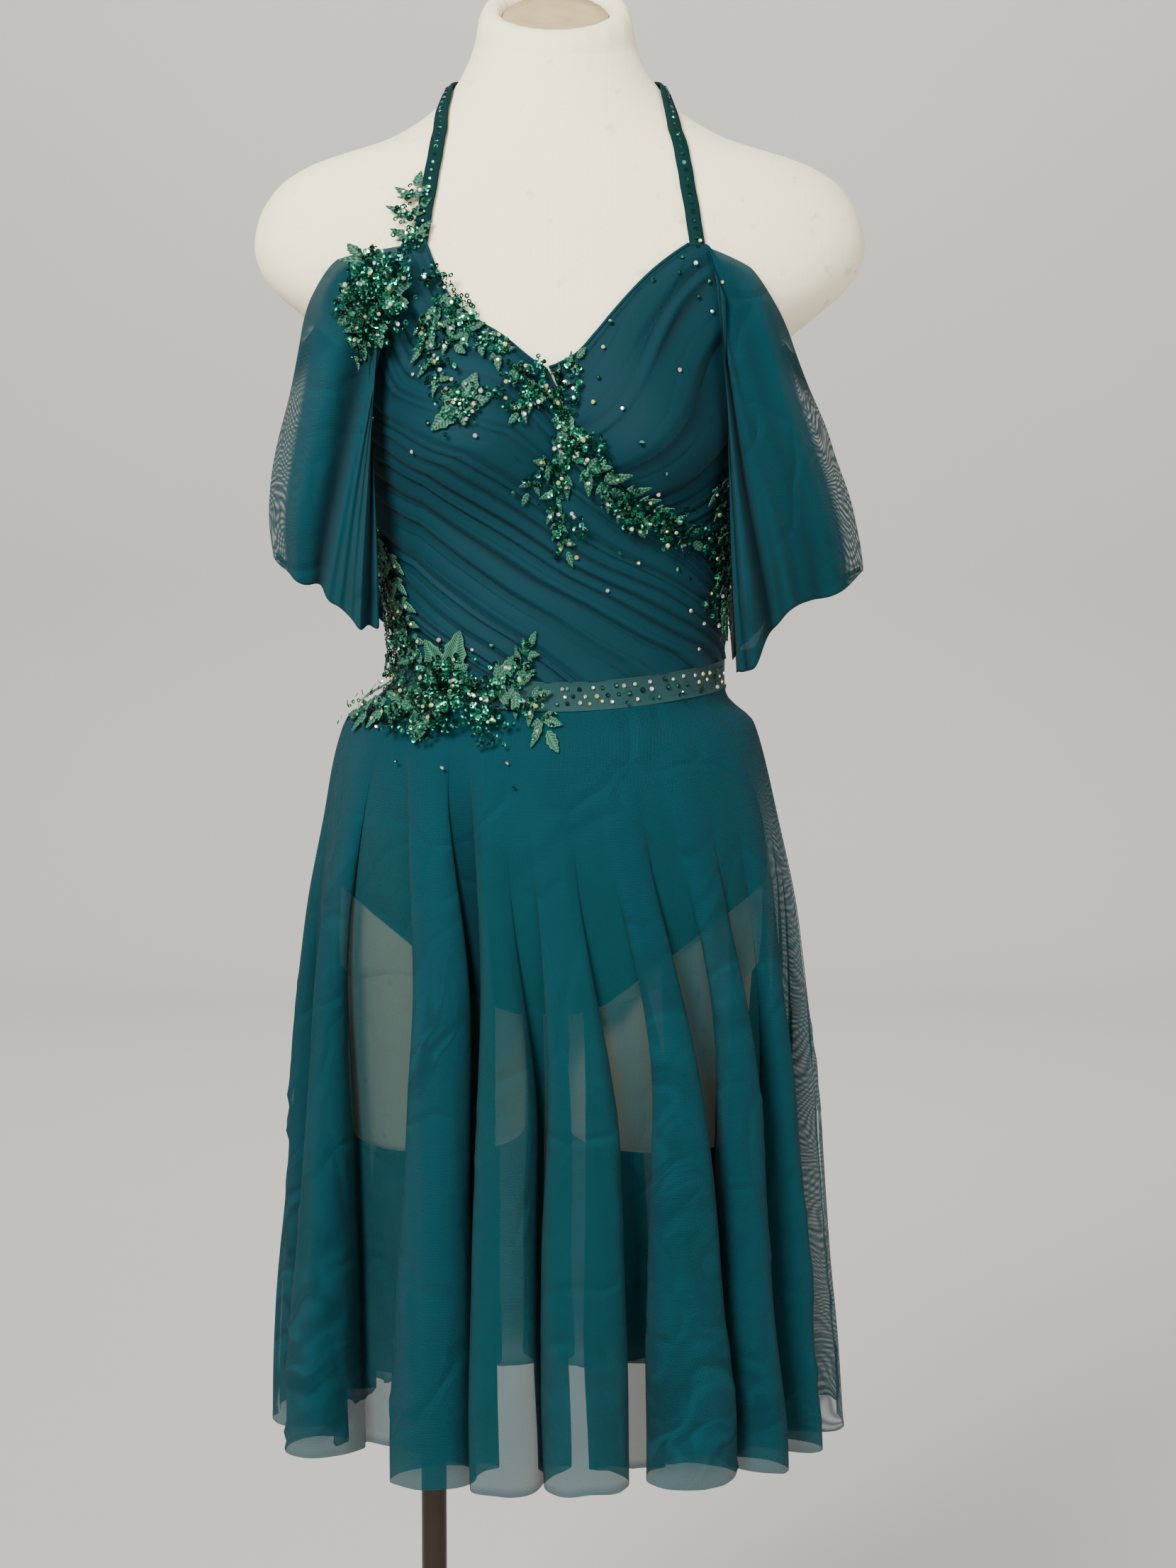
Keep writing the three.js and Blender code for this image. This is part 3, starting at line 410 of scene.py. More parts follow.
THIGHS = rows_of("""
z   from half front back
650 81 57 69 73
650.6 81 60 72 76
652 81 62.5 74.5 78.5
656 81 64.4 76.5 80.5
700 82 66 79 84
750 84 66 82 90
790 85 66 84 96
830 84 60 78 92
""")
for hand, name in ((-1, "form_thigh_left"), (1, "form_thigh_right")):
    zs = np.concatenate([[650, 650.6, 652, 654], np.linspace(656, 830, 24)])
    angle = circle(THIGH_SIDES)
    width, fore, aft, reach = (column(THIGHS, k)(zs)[:, None] for k in ("half", "front", "back", "from"))
    x = side(zs)[:, None] + hand * reach + width * np.sin(angle)
    y = -np.where(np.cos(angle) > 0, fore, aft) * np.cos(angle)
    grid = np.stack([x, y, np.repeat(zs[:, None], THIGH_SIDES, 1)], -1)
    faces = grid_faces(len(zs), THIGH_SIDES, around=True) + [list(range(THIGH_SIDES))]
    new_object(name, grid.reshape(-1, 3), faces)

PLUG = [(1467.5, 0.715), (1470.8, 0.71), (1470.6, 0.5), (1470.0, 0.25)]
plug_grid = np.array([form_ring(z, share) for z, share in PLUG])
plug_end = list(range((len(PLUG) - 1) * FORM_SIDES, len(PLUG) * FORM_SIDES))
plug_faces = grid_faces(len(PLUG), FORM_SIDES, around=True) + [plug_end]
new_object("neck_filling", plug_grid.reshape(-1, 3), plug_faces)
place("form_trunk", "form_jersey", "dress_form")
place("form_thigh_left", "form_jersey")
place("form_thigh_right", "form_jersey")
place("neck_filling", "neck_foam", "neck_foam")
print("form rings:", len(levels))


# %% [markdown]
# The stand is turned on a lathe: a rod, a collar that grips it, and a heavy round base with softened edges.


# %% Build the stand
def turned_piece(name, profile, x=0.0, sides=72):
    profile = np.array(profile, float)
    angle = circle(sides)
    grid = np.stack([
        x + profile[:, :1] * np.cos(angle),
        profile[:, :1] * np.sin(angle),
        np.repeat(profile[:, 1:], sides, 1),
    ], -1)
    new_object(name, grid.reshape(-1, 3), capped(len(profile), sides))


def softened(profile, cut=0.8):
    """Each corner of a turned profile is swapped for two points, so that its edge catches the light."""
    points = [np.array(p, float) for p in profile]
    out = [points[0]]
    for before, here, after in zip(points, points[1:], points[2:]):
        for other in (before, after):
            reach = np.linalg.norm(other - here)
            out.append(here + (other - here) / reach * min(cut, reach * 0.4))
    return out + [points[-1]]


base_profile = [(0.5, 0), (173, 0), (175, 2), (175, 6), (173, 8), (60, 8), (0.5, 8)]
turned_piece("round_base", softened(base_profile), sides=120)
collar_profile = [(9.8, 8), (26, 8), (26, 10), (14, 20), (14, 34), (9.8, 34)]
turned_piece("collar", softened(collar_profile), ROD_X)
turned_piece("rod", [(9.5, 8), (9.5, 300), (9.5, 640), (9.5, 700)], ROD_X, 48)
place("round_base", "stand_steel", "stand_base")
place("collar", "stand_steel")
place("rod", "stand_steel", "stand_rod")

# %% [markdown]
# ## Drawing panels
# A panel is drawn between four seams on the body. Each seam is a smooth line through a few pinned points, and the
# inside is filled so that rows run from one side seam to the other. Folds then follow these rows by themselves.


# %% Draw seams and fill panels
def spline(points, samples=24):
    p = np.array(points, float)
    if len(p) == 2:
        return np.linspace(p[0], p[1], samples)
    t = np.linspace(0, len(p) - 1, samples * (len(p) - 1) + 1)
    i = np.minimum(t.astype(int), len(p) - 2)
    w = (t - i)[:, None]
    a, b, c, d = p[np.maximum(i - 1, 0)], p[i], p[i + 1], p[np.minimum(i + 2, len(p) - 1)]
    v0, v1 = (c - a) / 2, (d - b) / 2
    return (2 * b - 2 * c + v0 + v1) * w**3 + (-3 * b + 3 * c - 2 * v0 - v1) * w**2 + v0 * w + b


def chain(*curves):
    line = np.concatenate(curves)
    keep = np.concatenate([[True], np.linalg.norm(np.diff(line, axis=0), axis=1) > 1e-6])
    line = line[keep]
    length = run_length(line)

    def at(t):
        d = np.clip(t, 0, 1) * length[-1]
        return np.stack([np.interp(d, length, line[:, 0]), np.interp(d, length, line[:, 1])], -1)

    return at


def between(top, foot, left, right):
    a, b, c, d = top(0), top(1), foot(0), foot(1)

    def at(s, t):
        s1, t1 = s[..., None], t[..., None]
        p = top(s) * (1 - t1) + foot(s) * t1 + left(t) * (1 - s1) + right(t) * s1
        p = p - a * (1 - s1) * (1 - t1) - b * s1 * (1 - t1) - c * (1 - s1) * t1 - d * s1 * t1
        return p[..., 0] / ARC, p[..., 1]

    return at


def waist_top(angle):
    return WAIST_TOP - WAIST_DIP * np.maximum(0, np.cos(angle)) ** 1.4


def waist_foot(angle):
    return waist_top(angle) - BAND_HEIGHT


def waist_line(start, end, lift):
    angle = np.linspace(start, end, 9)
    return spline(np.stack([angle * ARC, waist_top(angle) + lift], -1))


def pinned(points):
    return [at_front(x, z) for x, z in points]


def on_body(angle, z):
    return (angle * ARC, z)


DIAGONAL = [(-9, 1211), (16, 1167), (55, 1124), (88, 1094), (111, 1064)]
WRAP_END = (1.5, 1040)
WRAP_NECK = [(-94, 1303), (-77, 1264), (-57, 1246), (-39, 1234), (-21, 1219), (-9, 1211)]
CUP_NECK = [(91, 1300), (68, 1283), (51, 1266), (38, 1251), (26, 1236), (12, 1221), (-7, 1212.5)]
armhole_left, armhole_right = on_body(-QUARTER, 1212), on_body(QUARTER, 1212)
wrap_end = on_body(WRAP_END[0], WRAP_END[1] - 2 * SEAM)
wrap_corner = on_body(QUARTER, WRAP_END[1] - 10)
wrap_top = chain(
    spline(pinned(WRAP_NECK)),
    spline(pinned([(x - SEAM, z - SEAM) for x, z in DIAGONAL]) + [wrap_end]),
)
wrap_left = chain(
    spline(pinned([(-94, 1303), (-108, 1301)])),
    spline(pinned([(-108, 1301), (-126, 1272), (-143, 1246)]) + [on_body(-1.45, 1222), armhole_left]),
    spline([armhole_left, on_body(-QUARTER, WAIST_TOP + SEAM)]),
)
wrap_foot = chain(waist_line(-QUARTER, -0.95, SEAM))
wrap_right = chain(
    spline([wrap_end, wrap_corner]),
    spline([wrap_corner, on_body(QUARTER, WAIST_TOP + SEAM)]),
    waist_line(QUARTER, -0.95, SEAM),
)
wrap_domain = between(wrap_top, wrap_foot, wrap_left, wrap_right)

cup_end = on_body(WRAP_END[0] - 0.06, WRAP_END[1] + 6)
cup_corner = (wrap_corner[0], wrap_corner[1] + 2 * SEAM)
cup_top = chain(spline(pinned(CUP_NECK)))
cup_left = chain(
    spline(pinned([(91, 1300), (104, 1299)])),
    spline(pinned([(104, 1299), (124, 1271), (143, 1246)]) + [on_body(1.45, 1222), armhole_right]),
    spline([armhole_right, cup_corner]),
)
cup_side = [CUP_NECK[-1]] + [(x + SEAM, z + SEAM) for x, z in DIAGONAL[1:]]
cup_right = chain(spline(pinned(cup_side) + [cup_end]))
cup_foot = chain(spline([cup_corner, on_body(*WRAP_END), cup_end]))
cup_domain = between(cup_top, cup_foot, cup_left, cup_right)

# %% [markdown]
# ## Ruching
# The bodice is mesh gathered over a lining. Each gather rises slowly and drops sharply under the next one, and
# between the large gathers lie finer ones that come and go. Both are heights above the flat panel.

# %% Lay the ruched panels
def ruche(count, s, phase, seed):
    """Height of uneven gathers, and how deep in a crease each point lies, from 0 on a ridge to 1; the depth sets
    painted shade.
    """
    chance = np.random.default_rng(seed)
    widths = 0.35 + 1.9 * chance.random(count) ** 2
    heights = 0.7 + 2.4 * np.sqrt((widths - 0.35) / 1.9) + 0.4 * chance.random(count)
    ends = np.concatenate([[0], np.cumsum(widths) / widths.sum()])
    drift = 0.01 * wavy(s * 0.7, phase * 1.8, seed) * smooth(0, 0.15, phase) * smooth(1, 0.85, phase)
    at = np.interp(np.clip(phase + drift, 0, 1), ends, np.arange(count + 1))
    index = np.minimum(at.astype(int), count - 1)
    share = at - index
    rise = np.where(share < 0.78, smooth(0, 0.78, share) ** 0.8, 1 - smooth(0.78, 1, share))
    fading = 0.25 + 0.75 * smooth(-0.7, 0.5, np.sin(index * 2.7 + s * (2.5 + index % 3)))
    main = heights[index] * rise * (0.4 + 0.6 * fading)
    small = at * 1.7 + 0.4 * wavy(s * 1.2, phase * 4, seed + 1)
    come_and_go = smooth(0.0, 0.9, np.sin(s * 4.0 + np.floor(small) * 2.4))
    fine = (1 - np.abs(np.sin(math.pi * small)) ** 0.5) * come_and_go
    crease = np.clip((1 - rise) ** 5 * fading + fine**3 * 0.7, 0, 1)
    return main, 0.7 * fine, crease


def ruched_panel(name, domain, count, columns, rows, seed, gather, height, calm):
    s, t = unit_grid(columns, rows)
    angle, z = domain(s, t)
    at_edge, near, far = (np.interp(t, *np.array(pair, float)) for pair in gather)
    phase = mix(mix(at_edge, near, smooth(0, 0.16, s)), far, np.clip((s - 0.08) / 0.86, 0, 1))
    main, fine, crease = ruche(count, s, phase, seed)
    calm_x, calm_z, calm_size = calm
    away = np.hypot(angle * ARC - at_front(calm_x, calm_z)[0], z - calm_z) / calm_size
    strength = 1 - 0.8 * np.exp(-(away**2))
    ends = smooth(0, 0.02, t) * smooth(1, 0.98, t) * (0.35 + 0.65 * smooth(0, 0.1, s))
    lift = CLOTH * 0.9 + height * (main - fine) * strength * ends
    # The crease depth is kept on the cloth, where it paints shade into the creases.
    cloth_sheet(name, off(angle, z, EASE + np.maximum(lift, 0.3)), crease=crease * strength * ends)


# For three lines across a panel: how far down its seam a fold lies, and which fold that is, both from 0 to 1.
WRAP_EDGE = [(0, 0.1, 0.25, 0.4, 0.6, 0.8, 1), (0, 0.14, 0.33, 0.5, 0.7, 0.86, 1)]
WRAP_NEAR = [(0, 1), (0, 1)]
WRAP_FAR = [(0, 0.03, 0.08, 0.16, 0.3, 0.51, 0.75, 1), (0, 0.22, 0.36, 0.43, 0.5, 0.6, 0.77, 1)]
CUP_EDGE = [(0, 0.04, 0.1, 0.24, 0.39, 0.57, 1), (0, 0.16, 0.25, 0.37, 0.45, 0.57, 1)]
CUP_FAR = [(0, 1), (0, 1)]
wrap_gather, cup_gather = (WRAP_EDGE, WRAP_NEAR, WRAP_FAR), (CUP_EDGE, CUP_EDGE, CUP_FAR)
ruched_panel("wrap_front", wrap_domain, 24, 150, 380, 3, wrap_gather, 1.0, (-70, 1196, 32))
ruched_panel("cup_front", cup_domain, 17, 100, 240, 8, cup_gather, 0.9, (46, 1200, 30))

BACK_TOP = [(-QUARTER, 1212), (-1.9, 1236), (-2.25, 1258), (-2.6, 1240), (-math.pi, 1206),
            (-3.68, 1240), (-4.03, 1258), (-4.38, 1236), (-3 * QUARTER, 1212)]
back_top = chain(spline([on_body(angle, z) for angle, z in BACK_TOP]))


def plain_panel(name, edge, foot, columns, rows, crease, seed):
    s, t = unit_grid(columns, rows)
    line = edge(s[0])
    angle = np.repeat(line[None, :, 0] / ARC, rows, 0)
    z = mix(line[None, :, 1], foot(angle), t)
    lift = CLOTH * 0.9 + crease * wavy(angle * 3, z / 26, seed) * smooth(0, 0.05, t) * smooth(1, 0.95, t)
    # The whole back panel takes an even small share of the dark crease colour.
    cloth_sheet(name, off(angle, z, EASE + lift), crease=0.15)


plain_panel("bodice_back_panel", back_top, lambda a: WAIST_TOP + SEAM + 0 * a, 120, 60, 0.5, 4)
place("wrap_front", "bodice_mesh", "bodice_wrap")
place("cup_front", "bodice_mesh", "bodice_cup")
place("bodice_back_panel", "bodice_mesh", "bodice_back")

# %% [markdown]
# The edges of the bodice are turned over a narrow elastic, which shows as a soft round rim. A tube along the
# same seam line gives it.


# %% Roll the edges
def edge_path(line, start=0.0, end=1.0, rise=EASE + CLOTH * 0.75, count=60):
    p = line(np.linspace(start, end, count))
    return off(p[:, 0] / ARC, p[:, 1], rise)


span = np.linspace(0, 1, 400)
v_point = span[np.argmin(np.abs(wrap_top(span) - at_front(*DIAGONAL[0])).sum(1))]
RIMS = {
    "rim_left": (edge_path(wrap_top, 0, v_point), 1.25),
    "rim_wrap": (edge_path(wrap_top, v_point, 1, EASE + CLOTH + 0.4), 1.1),
    "rim_right": (edge_path(cup_top), 1.25),
    "rim_armhole_left": (edge_path(wrap_left, 0, 0.33), 1.2),
    "rim_armhole_right": (edge_path(cup_left, 0, 0.36), 1.2),
    "rim_back": (edge_path(back_top, count=120), 1.2),
}
for name, (path, radius) in RIMS.items():
    tube(name, path, radius)
    place(name, "bodice_mesh")


# %% [markdown]
# ## Waistband and briefs
# The waistband is a curved strip that dips in front. Its two long edges are rolled too. The briefs are smooth,
# cut high at the leg, and seen only through the skirt.


# %% Lay the waistband
def band(name, start, end, node):
    s, t = unit_grid(140, 14)
    angle = mix(start, end, s)
    z = mix(waist_top(angle) + 0.7, waist_foot(angle) - 0.7, t)
    roll = 0.7 * (smooth(0.12, 0, t) + smooth(0.88, 1, t))
    lift = CLOTH + 0.5 + roll + 0.25 * wavy(angle * 22, t * 2, 11)
    cloth_sheet(name, off(angle, z, EASE + lift))
    place(name, "waistband_mesh", node)


band("waistband_front_strip", -QUARTER, QUARTER, "waistband_front")
band("waistband_back_strip", QUARTER, 3 * QUARTER, "waistband_back")

# %% Lay the briefs
BRIEF_FRONT = [(846, 170), (845.5, 155.2), (843, 152), (840, 147), (826, 125), (804, 95), (781, 64), (763, 41)]
BRIEF_BACK = [(846, 170), (844.5, 155), (839, 150), (829, 142), (815, 128), (796, 104), (778, 76), (763, 44)]
GUSSET = [(752.5, 70, 22), (747.4, 40, 15), (746, 0.3, 15)]


def briefs(name, rows, facing, node):
    across = np.linspace(-1, 1, 81)
    grid = []
    for share in np.linspace(0, 1, 24)[:-1]:
        angle = across * QUARTER
        top = waist_foot(angle) if facing > 0 else WAIST_TOP - BAND_HEIGHT + 0 * angle
        z = mix(top - SEAM, rows[0][0], share)
        grid.append((angle, z))
    for z, width in rows:
        ratio = min(QUARTER, abs(angle_at(float(side(z)) + width, z)))
        if facing < 0:
            low = np.linspace(0, QUARTER, 2000)
            ratio = float(np.interp(width, body_radius(math.pi - low, z) * np.sin(low), low))
        grid.append((across * ratio, z + 0 * across))
    lines = []
    for angle, z in grid:
        ease = EASE + 0.6 * smooth(970, 900, z) + 0.8
        lines.append(off(angle if facing > 0 else math.pi - angle, z, ease))
    for z, y, width in GUSSET:
        sign = -1 if facing > 0 else 1
        lines.append(np.stack([side(z) + across * width, sign * y + 0 * across, z - 0.7 + 0 * across], -1))
    cloth_sheet(name, np.array(lines))
    place(name, "bodice_mesh", node)


briefs("briefs_front_panel", BRIEF_FRONT, 1, "briefs_front")
briefs("briefs_back_panel", BRIEF_BACK, -1, "briefs_back")

# %% [markdown]
# ## The skirt
# A nearly full circle of mesh hangs in tubes. Seen from above, its hem is a line that runs out to a crest, back
# into a valley tucked behind it, and out again. The folds open below the waist and grow down to the hem. Each row
# of the table is one fold: the angle of its crest, half its width at the hem, how deep the next valley is and how
# far that is tucked, how dense the cloth looks, how late the fold opens, and how much slimmer it starts.

# %% Fold tables
FRONT_FOLDS = """
at half valley shut full late slim
-86   22 0.6  0.5  0.9  0.15 0.7
-66   27 1.0  0.97 0.85 0.06 0.55
-29.5 33 1.0  1.0  1.0  0.0  0.78
-12   30 1.05 0.3  0.1  0.25 0.85
7.8   38 0.9  0.78 0.25 0.25 0.75
33    35 1.0  1.0  1.0  0.2  0.5
50    19 0.8  0.97 1.0  0.25 0.8
64    11 0.7  0.5  0.8  0.25 1.0
83    24 0.7  0.6  0.1  0.2  0.9
"""
BACK_FOLDS = """
at half valley shut full late slim
97  26 0.7  0.6 0.3 0.2 0.75
121 26 1.0  0.8 0.7 0.15 0.75
142 22 0.9  0.6 0.3 0.2 0.75
162 27 1.0  0.8 0.8 0.05 0.75
183 26 0.95 0.7 0.2 0.2 0.75
204 23 1.0  0.8 0.7 0.1 0.75
224 26 0.9  0.7 0.4 0.2 0.75
243 20 0.9  0.6 0.6 0.15 0.75
263 24 0.7  0.6 0.9 0.2 0.75
"""
FOLD_DEPTH = """
z   depth
992 0.6
968 3
940 7
893 15
817 27
725 39
632 50
556 59
435 72
"""
skirt_rows = rows_of(SKIRT)
skirt_side, skirt_front, skirt_back, skirt_shift = (
    column(skirt_rows, k) for k in ("side", "front", "back", "shift")
)
skirt_depth = column(rows_of(FOLD_DEPTH), "depth")


def skirt_reach(angle, z):
    deep = np.where(np.cos(angle) > 0, skirt_front(z), skirt_back(z))
    across = np.abs(np.sin(angle)) / skirt_side(z)
    along = np.abs(np.cos(angle)) / deep
    return (across**SKIRT_POWER + along**SKIRT_POWER) ** (-1 / SKIRT_POWER)


def fold_side(angle, hand, wide, inner, deep, full, late):
    """One side of a fold, from the bottom of the valley to the top of its wall."""
    return [
        (angle + hand * inner, deep, 0.3, late == 0, late),
        (angle + hand * 0.6 * (wide + inner), 0.7, 1, full * 0.6, late),
        (angle + hand * wide, 0.4, 0.7, full, late),
        (angle + hand * 0.72 * wide, 0.1, 0, full, late),
    ]


def fold_line(folds, start, end, slimmed):
    """The hem from above, point by point: angle, share of the fold depth, side wall, fullness, late start."""
    folds = [dict(fold, half=fold["half"] * mix(1, fold["slim"], slimmed)) for fold in folds]
    line = [(math.radians(start), 0.05, 0, folds[0]["full"], folds[0]["late"])]
    for k, fold in enumerate(folds):
        angle, wide, full = math.radians(fold["at"]), fold["half"] / HEM_REACH, fold["full"]
        inner = wide * (1 - fold["shut"])
        if k:
            deep, late = 0.88 * folds[k - 1]["valley"], folds[k - 1]["late"]
            line += fold_side(angle, -1, wide, inner, deep, full, late)
        line.append((angle, 0, 0, full, fold["late"]))
        if k + 1 < len(folds):
            deep, late = 0.88 * fold["valley"], fold["late"]
            line += fold_side(angle, 1, wide, inner, deep, full, late)[::-1]
            after = folds[k + 1]
            far = math.radians(after["at"]) - after["half"] / HEM_REACH * (1 - after["shut"])
            line.append(((angle + inner + far) / 2, deep + 0.04, 0, late == 0, late))
    line.append((math.radians(end), 0.05, 0, folds[-1]["full"], folds[-1]["late"]))
    return np.array(line)


# %% Hang the skirt
def hang_skirt(name, folds, start, end, rows, seed, node):
    line = fold_line(rows_of(folds), start, end, 0)
    fine = spline(line, 6)
    slim = spline(fold_line(rows_of(folds), start, end, 1), 6)[:, 0][None]
    turn, depth_share, wall, full, late = (fine[:, k][None] for k in range(5))
    depth_share = np.clip(depth_share, 0, 1.1)
    share = np.linspace(0, 1, len(fine))
    even = np.radians(mix(start, end, share))[None]
    v = (np.linspace(0, 1, rows) ** 1.15)[:, None]
    v = np.concatenate([v[:-1], [[0.9965]], v[-1:]])
    z = mix(waist_foot(even) - SEAM, HEM, v)
    edge = np.minimum(share, 1 - share)[None] * len(line)
    grown = smooth(0.5 * late - 0.08, 0.5 * late + 0.42, v) * np.minimum(1, edge)
    opened = smooth(late - 0.3, late + 0.55, v)
    turn = mix(slim, turn, smooth(0.3, 0.95, v))
    sway = 0.016 * wavy(turn * 2.5, z / 170, seed + 3) * smooth(0.15, 0.7, v) * np.minimum(1, edge / 2)
    angle = mix(even, turn, grown) + sway
    ripple = 1.5 * wavy(angle * 8, z / 80, seed) * smooth(0.1, 0.5, v)
    slanted = wavy(angle * 6 + z / 90, z / 42 - angle * 4, seed + 5)
    here = smooth(-0.1, 0.7, wavy(angle * 5, z / 120, seed + 7))
    ripple = ripple + 2.6 * np.maximum(0, 1 - np.abs(slanted) * 1.6) ** 2 * here * smooth(0.3, 0.6, v)
    wanted = skirt_reach(angle, z) - skirt_depth(z) * depth_share * opened + ripple
    clear = np.where(z > LEG_END - 10, body_radius(angle, z) + EASE + CLOTH + 2.2 + 2.5 * (1 - depth_share), 0)
    at_band = body_radius(angle, z) + EASE + 3.2
    r = mix(at_band, np.maximum(wanted, clear), smooth(0, 0.05, v)) + 0.75
    hem_swing = 2.4 * wavy(angle * 7, 0 * z, seed + 2) * v**3
    grid = np.stack([skirt_shift(z) + r * np.sin(angle), -r * np.cos(angle), z + hem_swing], -1)
    outer = smooth(1.18, 1.36, angle) * smooth(1.95, 1.75, angle) * smooth(0.06, 0.2, v)
    above_hem = smooth(1.0, 0.93, v)
    full = np.clip(full, 0, 1) * (1 - outer) * mix(0.45, 1, above_hem)
    # The density mask also sets painted light: where it is low, the cloth is coloured lighter.
    dense = np.maximum(np.clip(wall, 0, 1) * grown * 0.7, full)
    dense = np.maximum(dense, smooth(0.3, 0.04, v))
    if start > 0:
        dense = np.maximum(dense, 0.8 * above_hem * (1 - outer))
    dense = np.maximum(dense, 0.5 * (v > 0.99) + 0 * angle)
    # Painted shade down in the valleys of the folds: stronger for folds that open early, and lower down the skirt.
    sharp = 0.12 + 0.88 * smooth(0.04, 0.0, late) + 0.45 * smooth(0.56, 0.66, v)
    crease = depth_share * opened * sharp * smooth(1.04, 0.85, v) * smooth(0.02, 0.2, v)
    cloth_sheet(name, grid, crease=np.clip(crease, 0, 1), dense=np.clip(dense, 0, 1), ripple=0.5 * outer)
    place(name, "sheer_mesh", node)


hang_skirt("skirt_front_panel", FRONT_FOLDS, -90.1, 90.1, 90, 21, "skirt_front")
hang_skirt("skirt_back_panel", BACK_FOLDS, 89.9, 270.1, 70, 25, "skirt_back")

# %% [markdown]
# ## The sleeves
# Each sleeve is one loop of mesh, gathered in front at the strap and behind at the edge of the back, and open
# below the arm. Its lower edge is turned under, so the cloth is double there and the edge is round.

# %% Sleeve tables
RIGHT_SLEEVE = """
at   tx  ty  tz   hx  hy  hz
0    117 -88 1262 127 -60 1003
0.1  113 -87 1273 134 -72 1002
0.2  109 -85 1284 147 -72 1021
0.3  105 -83 1298 166 -64 1047
0.4  134 -81 1285 196 -42 1056
0.45 157 -62 1255 218 -18 1067
0.5  172 2   1230 226 8   1071
0.55 160 66  1256 218 34  1067
0.6  136 96  1282 200 54  1058
0.7  114 104 1290 174 68  1048
0.8  118 101 1280 155 76  1034
0.9  121 99  1269 141 74  1019
1    124 98  1258 131 64  1010
"""
LEFT_SLEEVE = """
at   tx    ty    tz   hx  hy  hz
0    136   -79   1256 129 -60 1036
0.1  130   -81   1269 137 -70 1032
0.2  121   -83   1282 150 -68 1042
0.3  111.5 -81.6 1299 167 -58 1056
0.4  155   -72   1291 190 -40 1068
0.45 177   -57   1264 205 -18 1075
0.5  189   2     1238 213 8   1082
0.55 177   62    1264 206 32  1075
0.6  150   92    1284 192 52  1068
0.7  118   104   1290 173 66  1058
0.8  121   101   1280 157 74  1048
0.9  124   99    1269 143 72  1040
1    127   98    1258 133 62  1036
"""


# %% Drape the sleeves
def drape_sleeve(name, table, hand, seed, node):
    rows = rows_of(table)
    columns, body_rows, turn_rows, gathers = 260, 64, 10, 7
    u = np.linspace(0, 1, columns)[None]
    top = np.stack([column(rows, k, "at")(u[0]) for k in ("tx", "ty", "tz")], -1)
    hem = np.stack([column(rows, k, "at")(u[0]) for k in ("hx", "hy", "hz")], -1)
    middle = smooth(0.36, 0.46, u) * smooth(0.64, 0.54, u)
    strength = 1 - 0.7 * middle

    def sheet(v):
        at = mix(top[None], hem[None], v[..., None])
        out = unit(np.stack([at[..., 0] - ARM_MIDDLE[0], at[..., 1] - ARM_MIDDLE[1], 0 * at[..., 0]], -1))
        out[..., 0] *= np.where(out[..., 0] < 0, 0.3, 1)
        bunch = mix(u, smooth(0, 0.5, u) / 2 + smooth(0.5, 1, u) / 2, 0.35)
        phase = 2 * math.pi * gathers * (bunch + 0.012 * wavy(u * 4, v * 1.5, seed) * np.sin(math.pi * u))
        ridge = np.cos(phase)
        tall = 0.55 + 0.45 * np.sin(u * 23 + seed)
        wave = ridge * strength * tall * 8.5 * (0.15 + 0.85 * v**0.8)
        small = np.cos(phase * 2.3 + 2 * wavy(u * 3, v, seed + 1)) * 1.3 * strength * (0.3 + v * 0.7)
        soft = 3.0 * wavy(u * 5, v * 2.2, seed + 2) * middle * np.sin(math.pi * v)
        belly = (7 + 5 * strength) * np.sin(math.pi * v**1.3)
        # How deep a point lies between the gathers, for painted shade there.
        crease = np.clip(0.5 - 0.5 * ridge, 0, 1) ** 2.5 * strength * tall * smooth(0, 0.15, v)
        tuck = smooth(0.82, 1.0, v)
        wave = wave * (1 - 0.35 * tuck) - 4.0 * tuck * strength
        at[..., 2] -= 4.0 * ridge * tall * strength * v**4
        return at + out * (wave + small + soft + belly + 0.75)[..., None], out, crease

    v = np.linspace(0, 1, body_rows)[:, None] * np.ones_like(u)
    upper, out, crease = sheet(v)
    last, inward = upper[-1], -out[-1]
    turn = np.linspace(0, 1, turn_rows + 1)[1:, None]
    radius = 1.2 + 2.6 * (1 - middle)
    phi = math.pi * np.minimum(1, turn / 0.6)
    climb = np.maximum(0, (turn - 0.6) / 0.4) * (2 + 10 * (1 - middle))
    under = last[None] + inward[None] * (radius * (1 - np.cos(phi)) + climb * 0.12)[..., None]
    under[..., 2] += -radius * np.sin(phi) + climb
    grid = np.concatenate([upper, under])
    grid[..., 0] *= hand
    sheer = smooth(0.076, 0.064, np.abs(u - 0.5)) * smooth(0.1, 0.3, v)
    # Where this density mask is low, the cloth is coloured lighter as painted light.
    dense = np.concatenate([1 - 0.97 * sheer, np.repeat(1 - 0.4 * sheer[-1:], turn_rows, 0)])
    cloth_sheet(name, grid, crease=np.concatenate([crease, np.repeat(crease[-1:], turn_rows, 0)]),
                dense=dense, ripple=1 - dense)
    place(name, "sheer_mesh", node)


drape_sleeve("sleeve_left_drape", LEFT_SLEEVE, -1, 31, "sleeve_left")
drape_sleeve("sleeve_right_drape", RIGHT_SLEEVE, 1, 35, "sleeve_right")

# %% [markdown]
# ## The halter strap
# Two narrow bands climb from the strap points, pass the sides of the neck and meet at the nape.

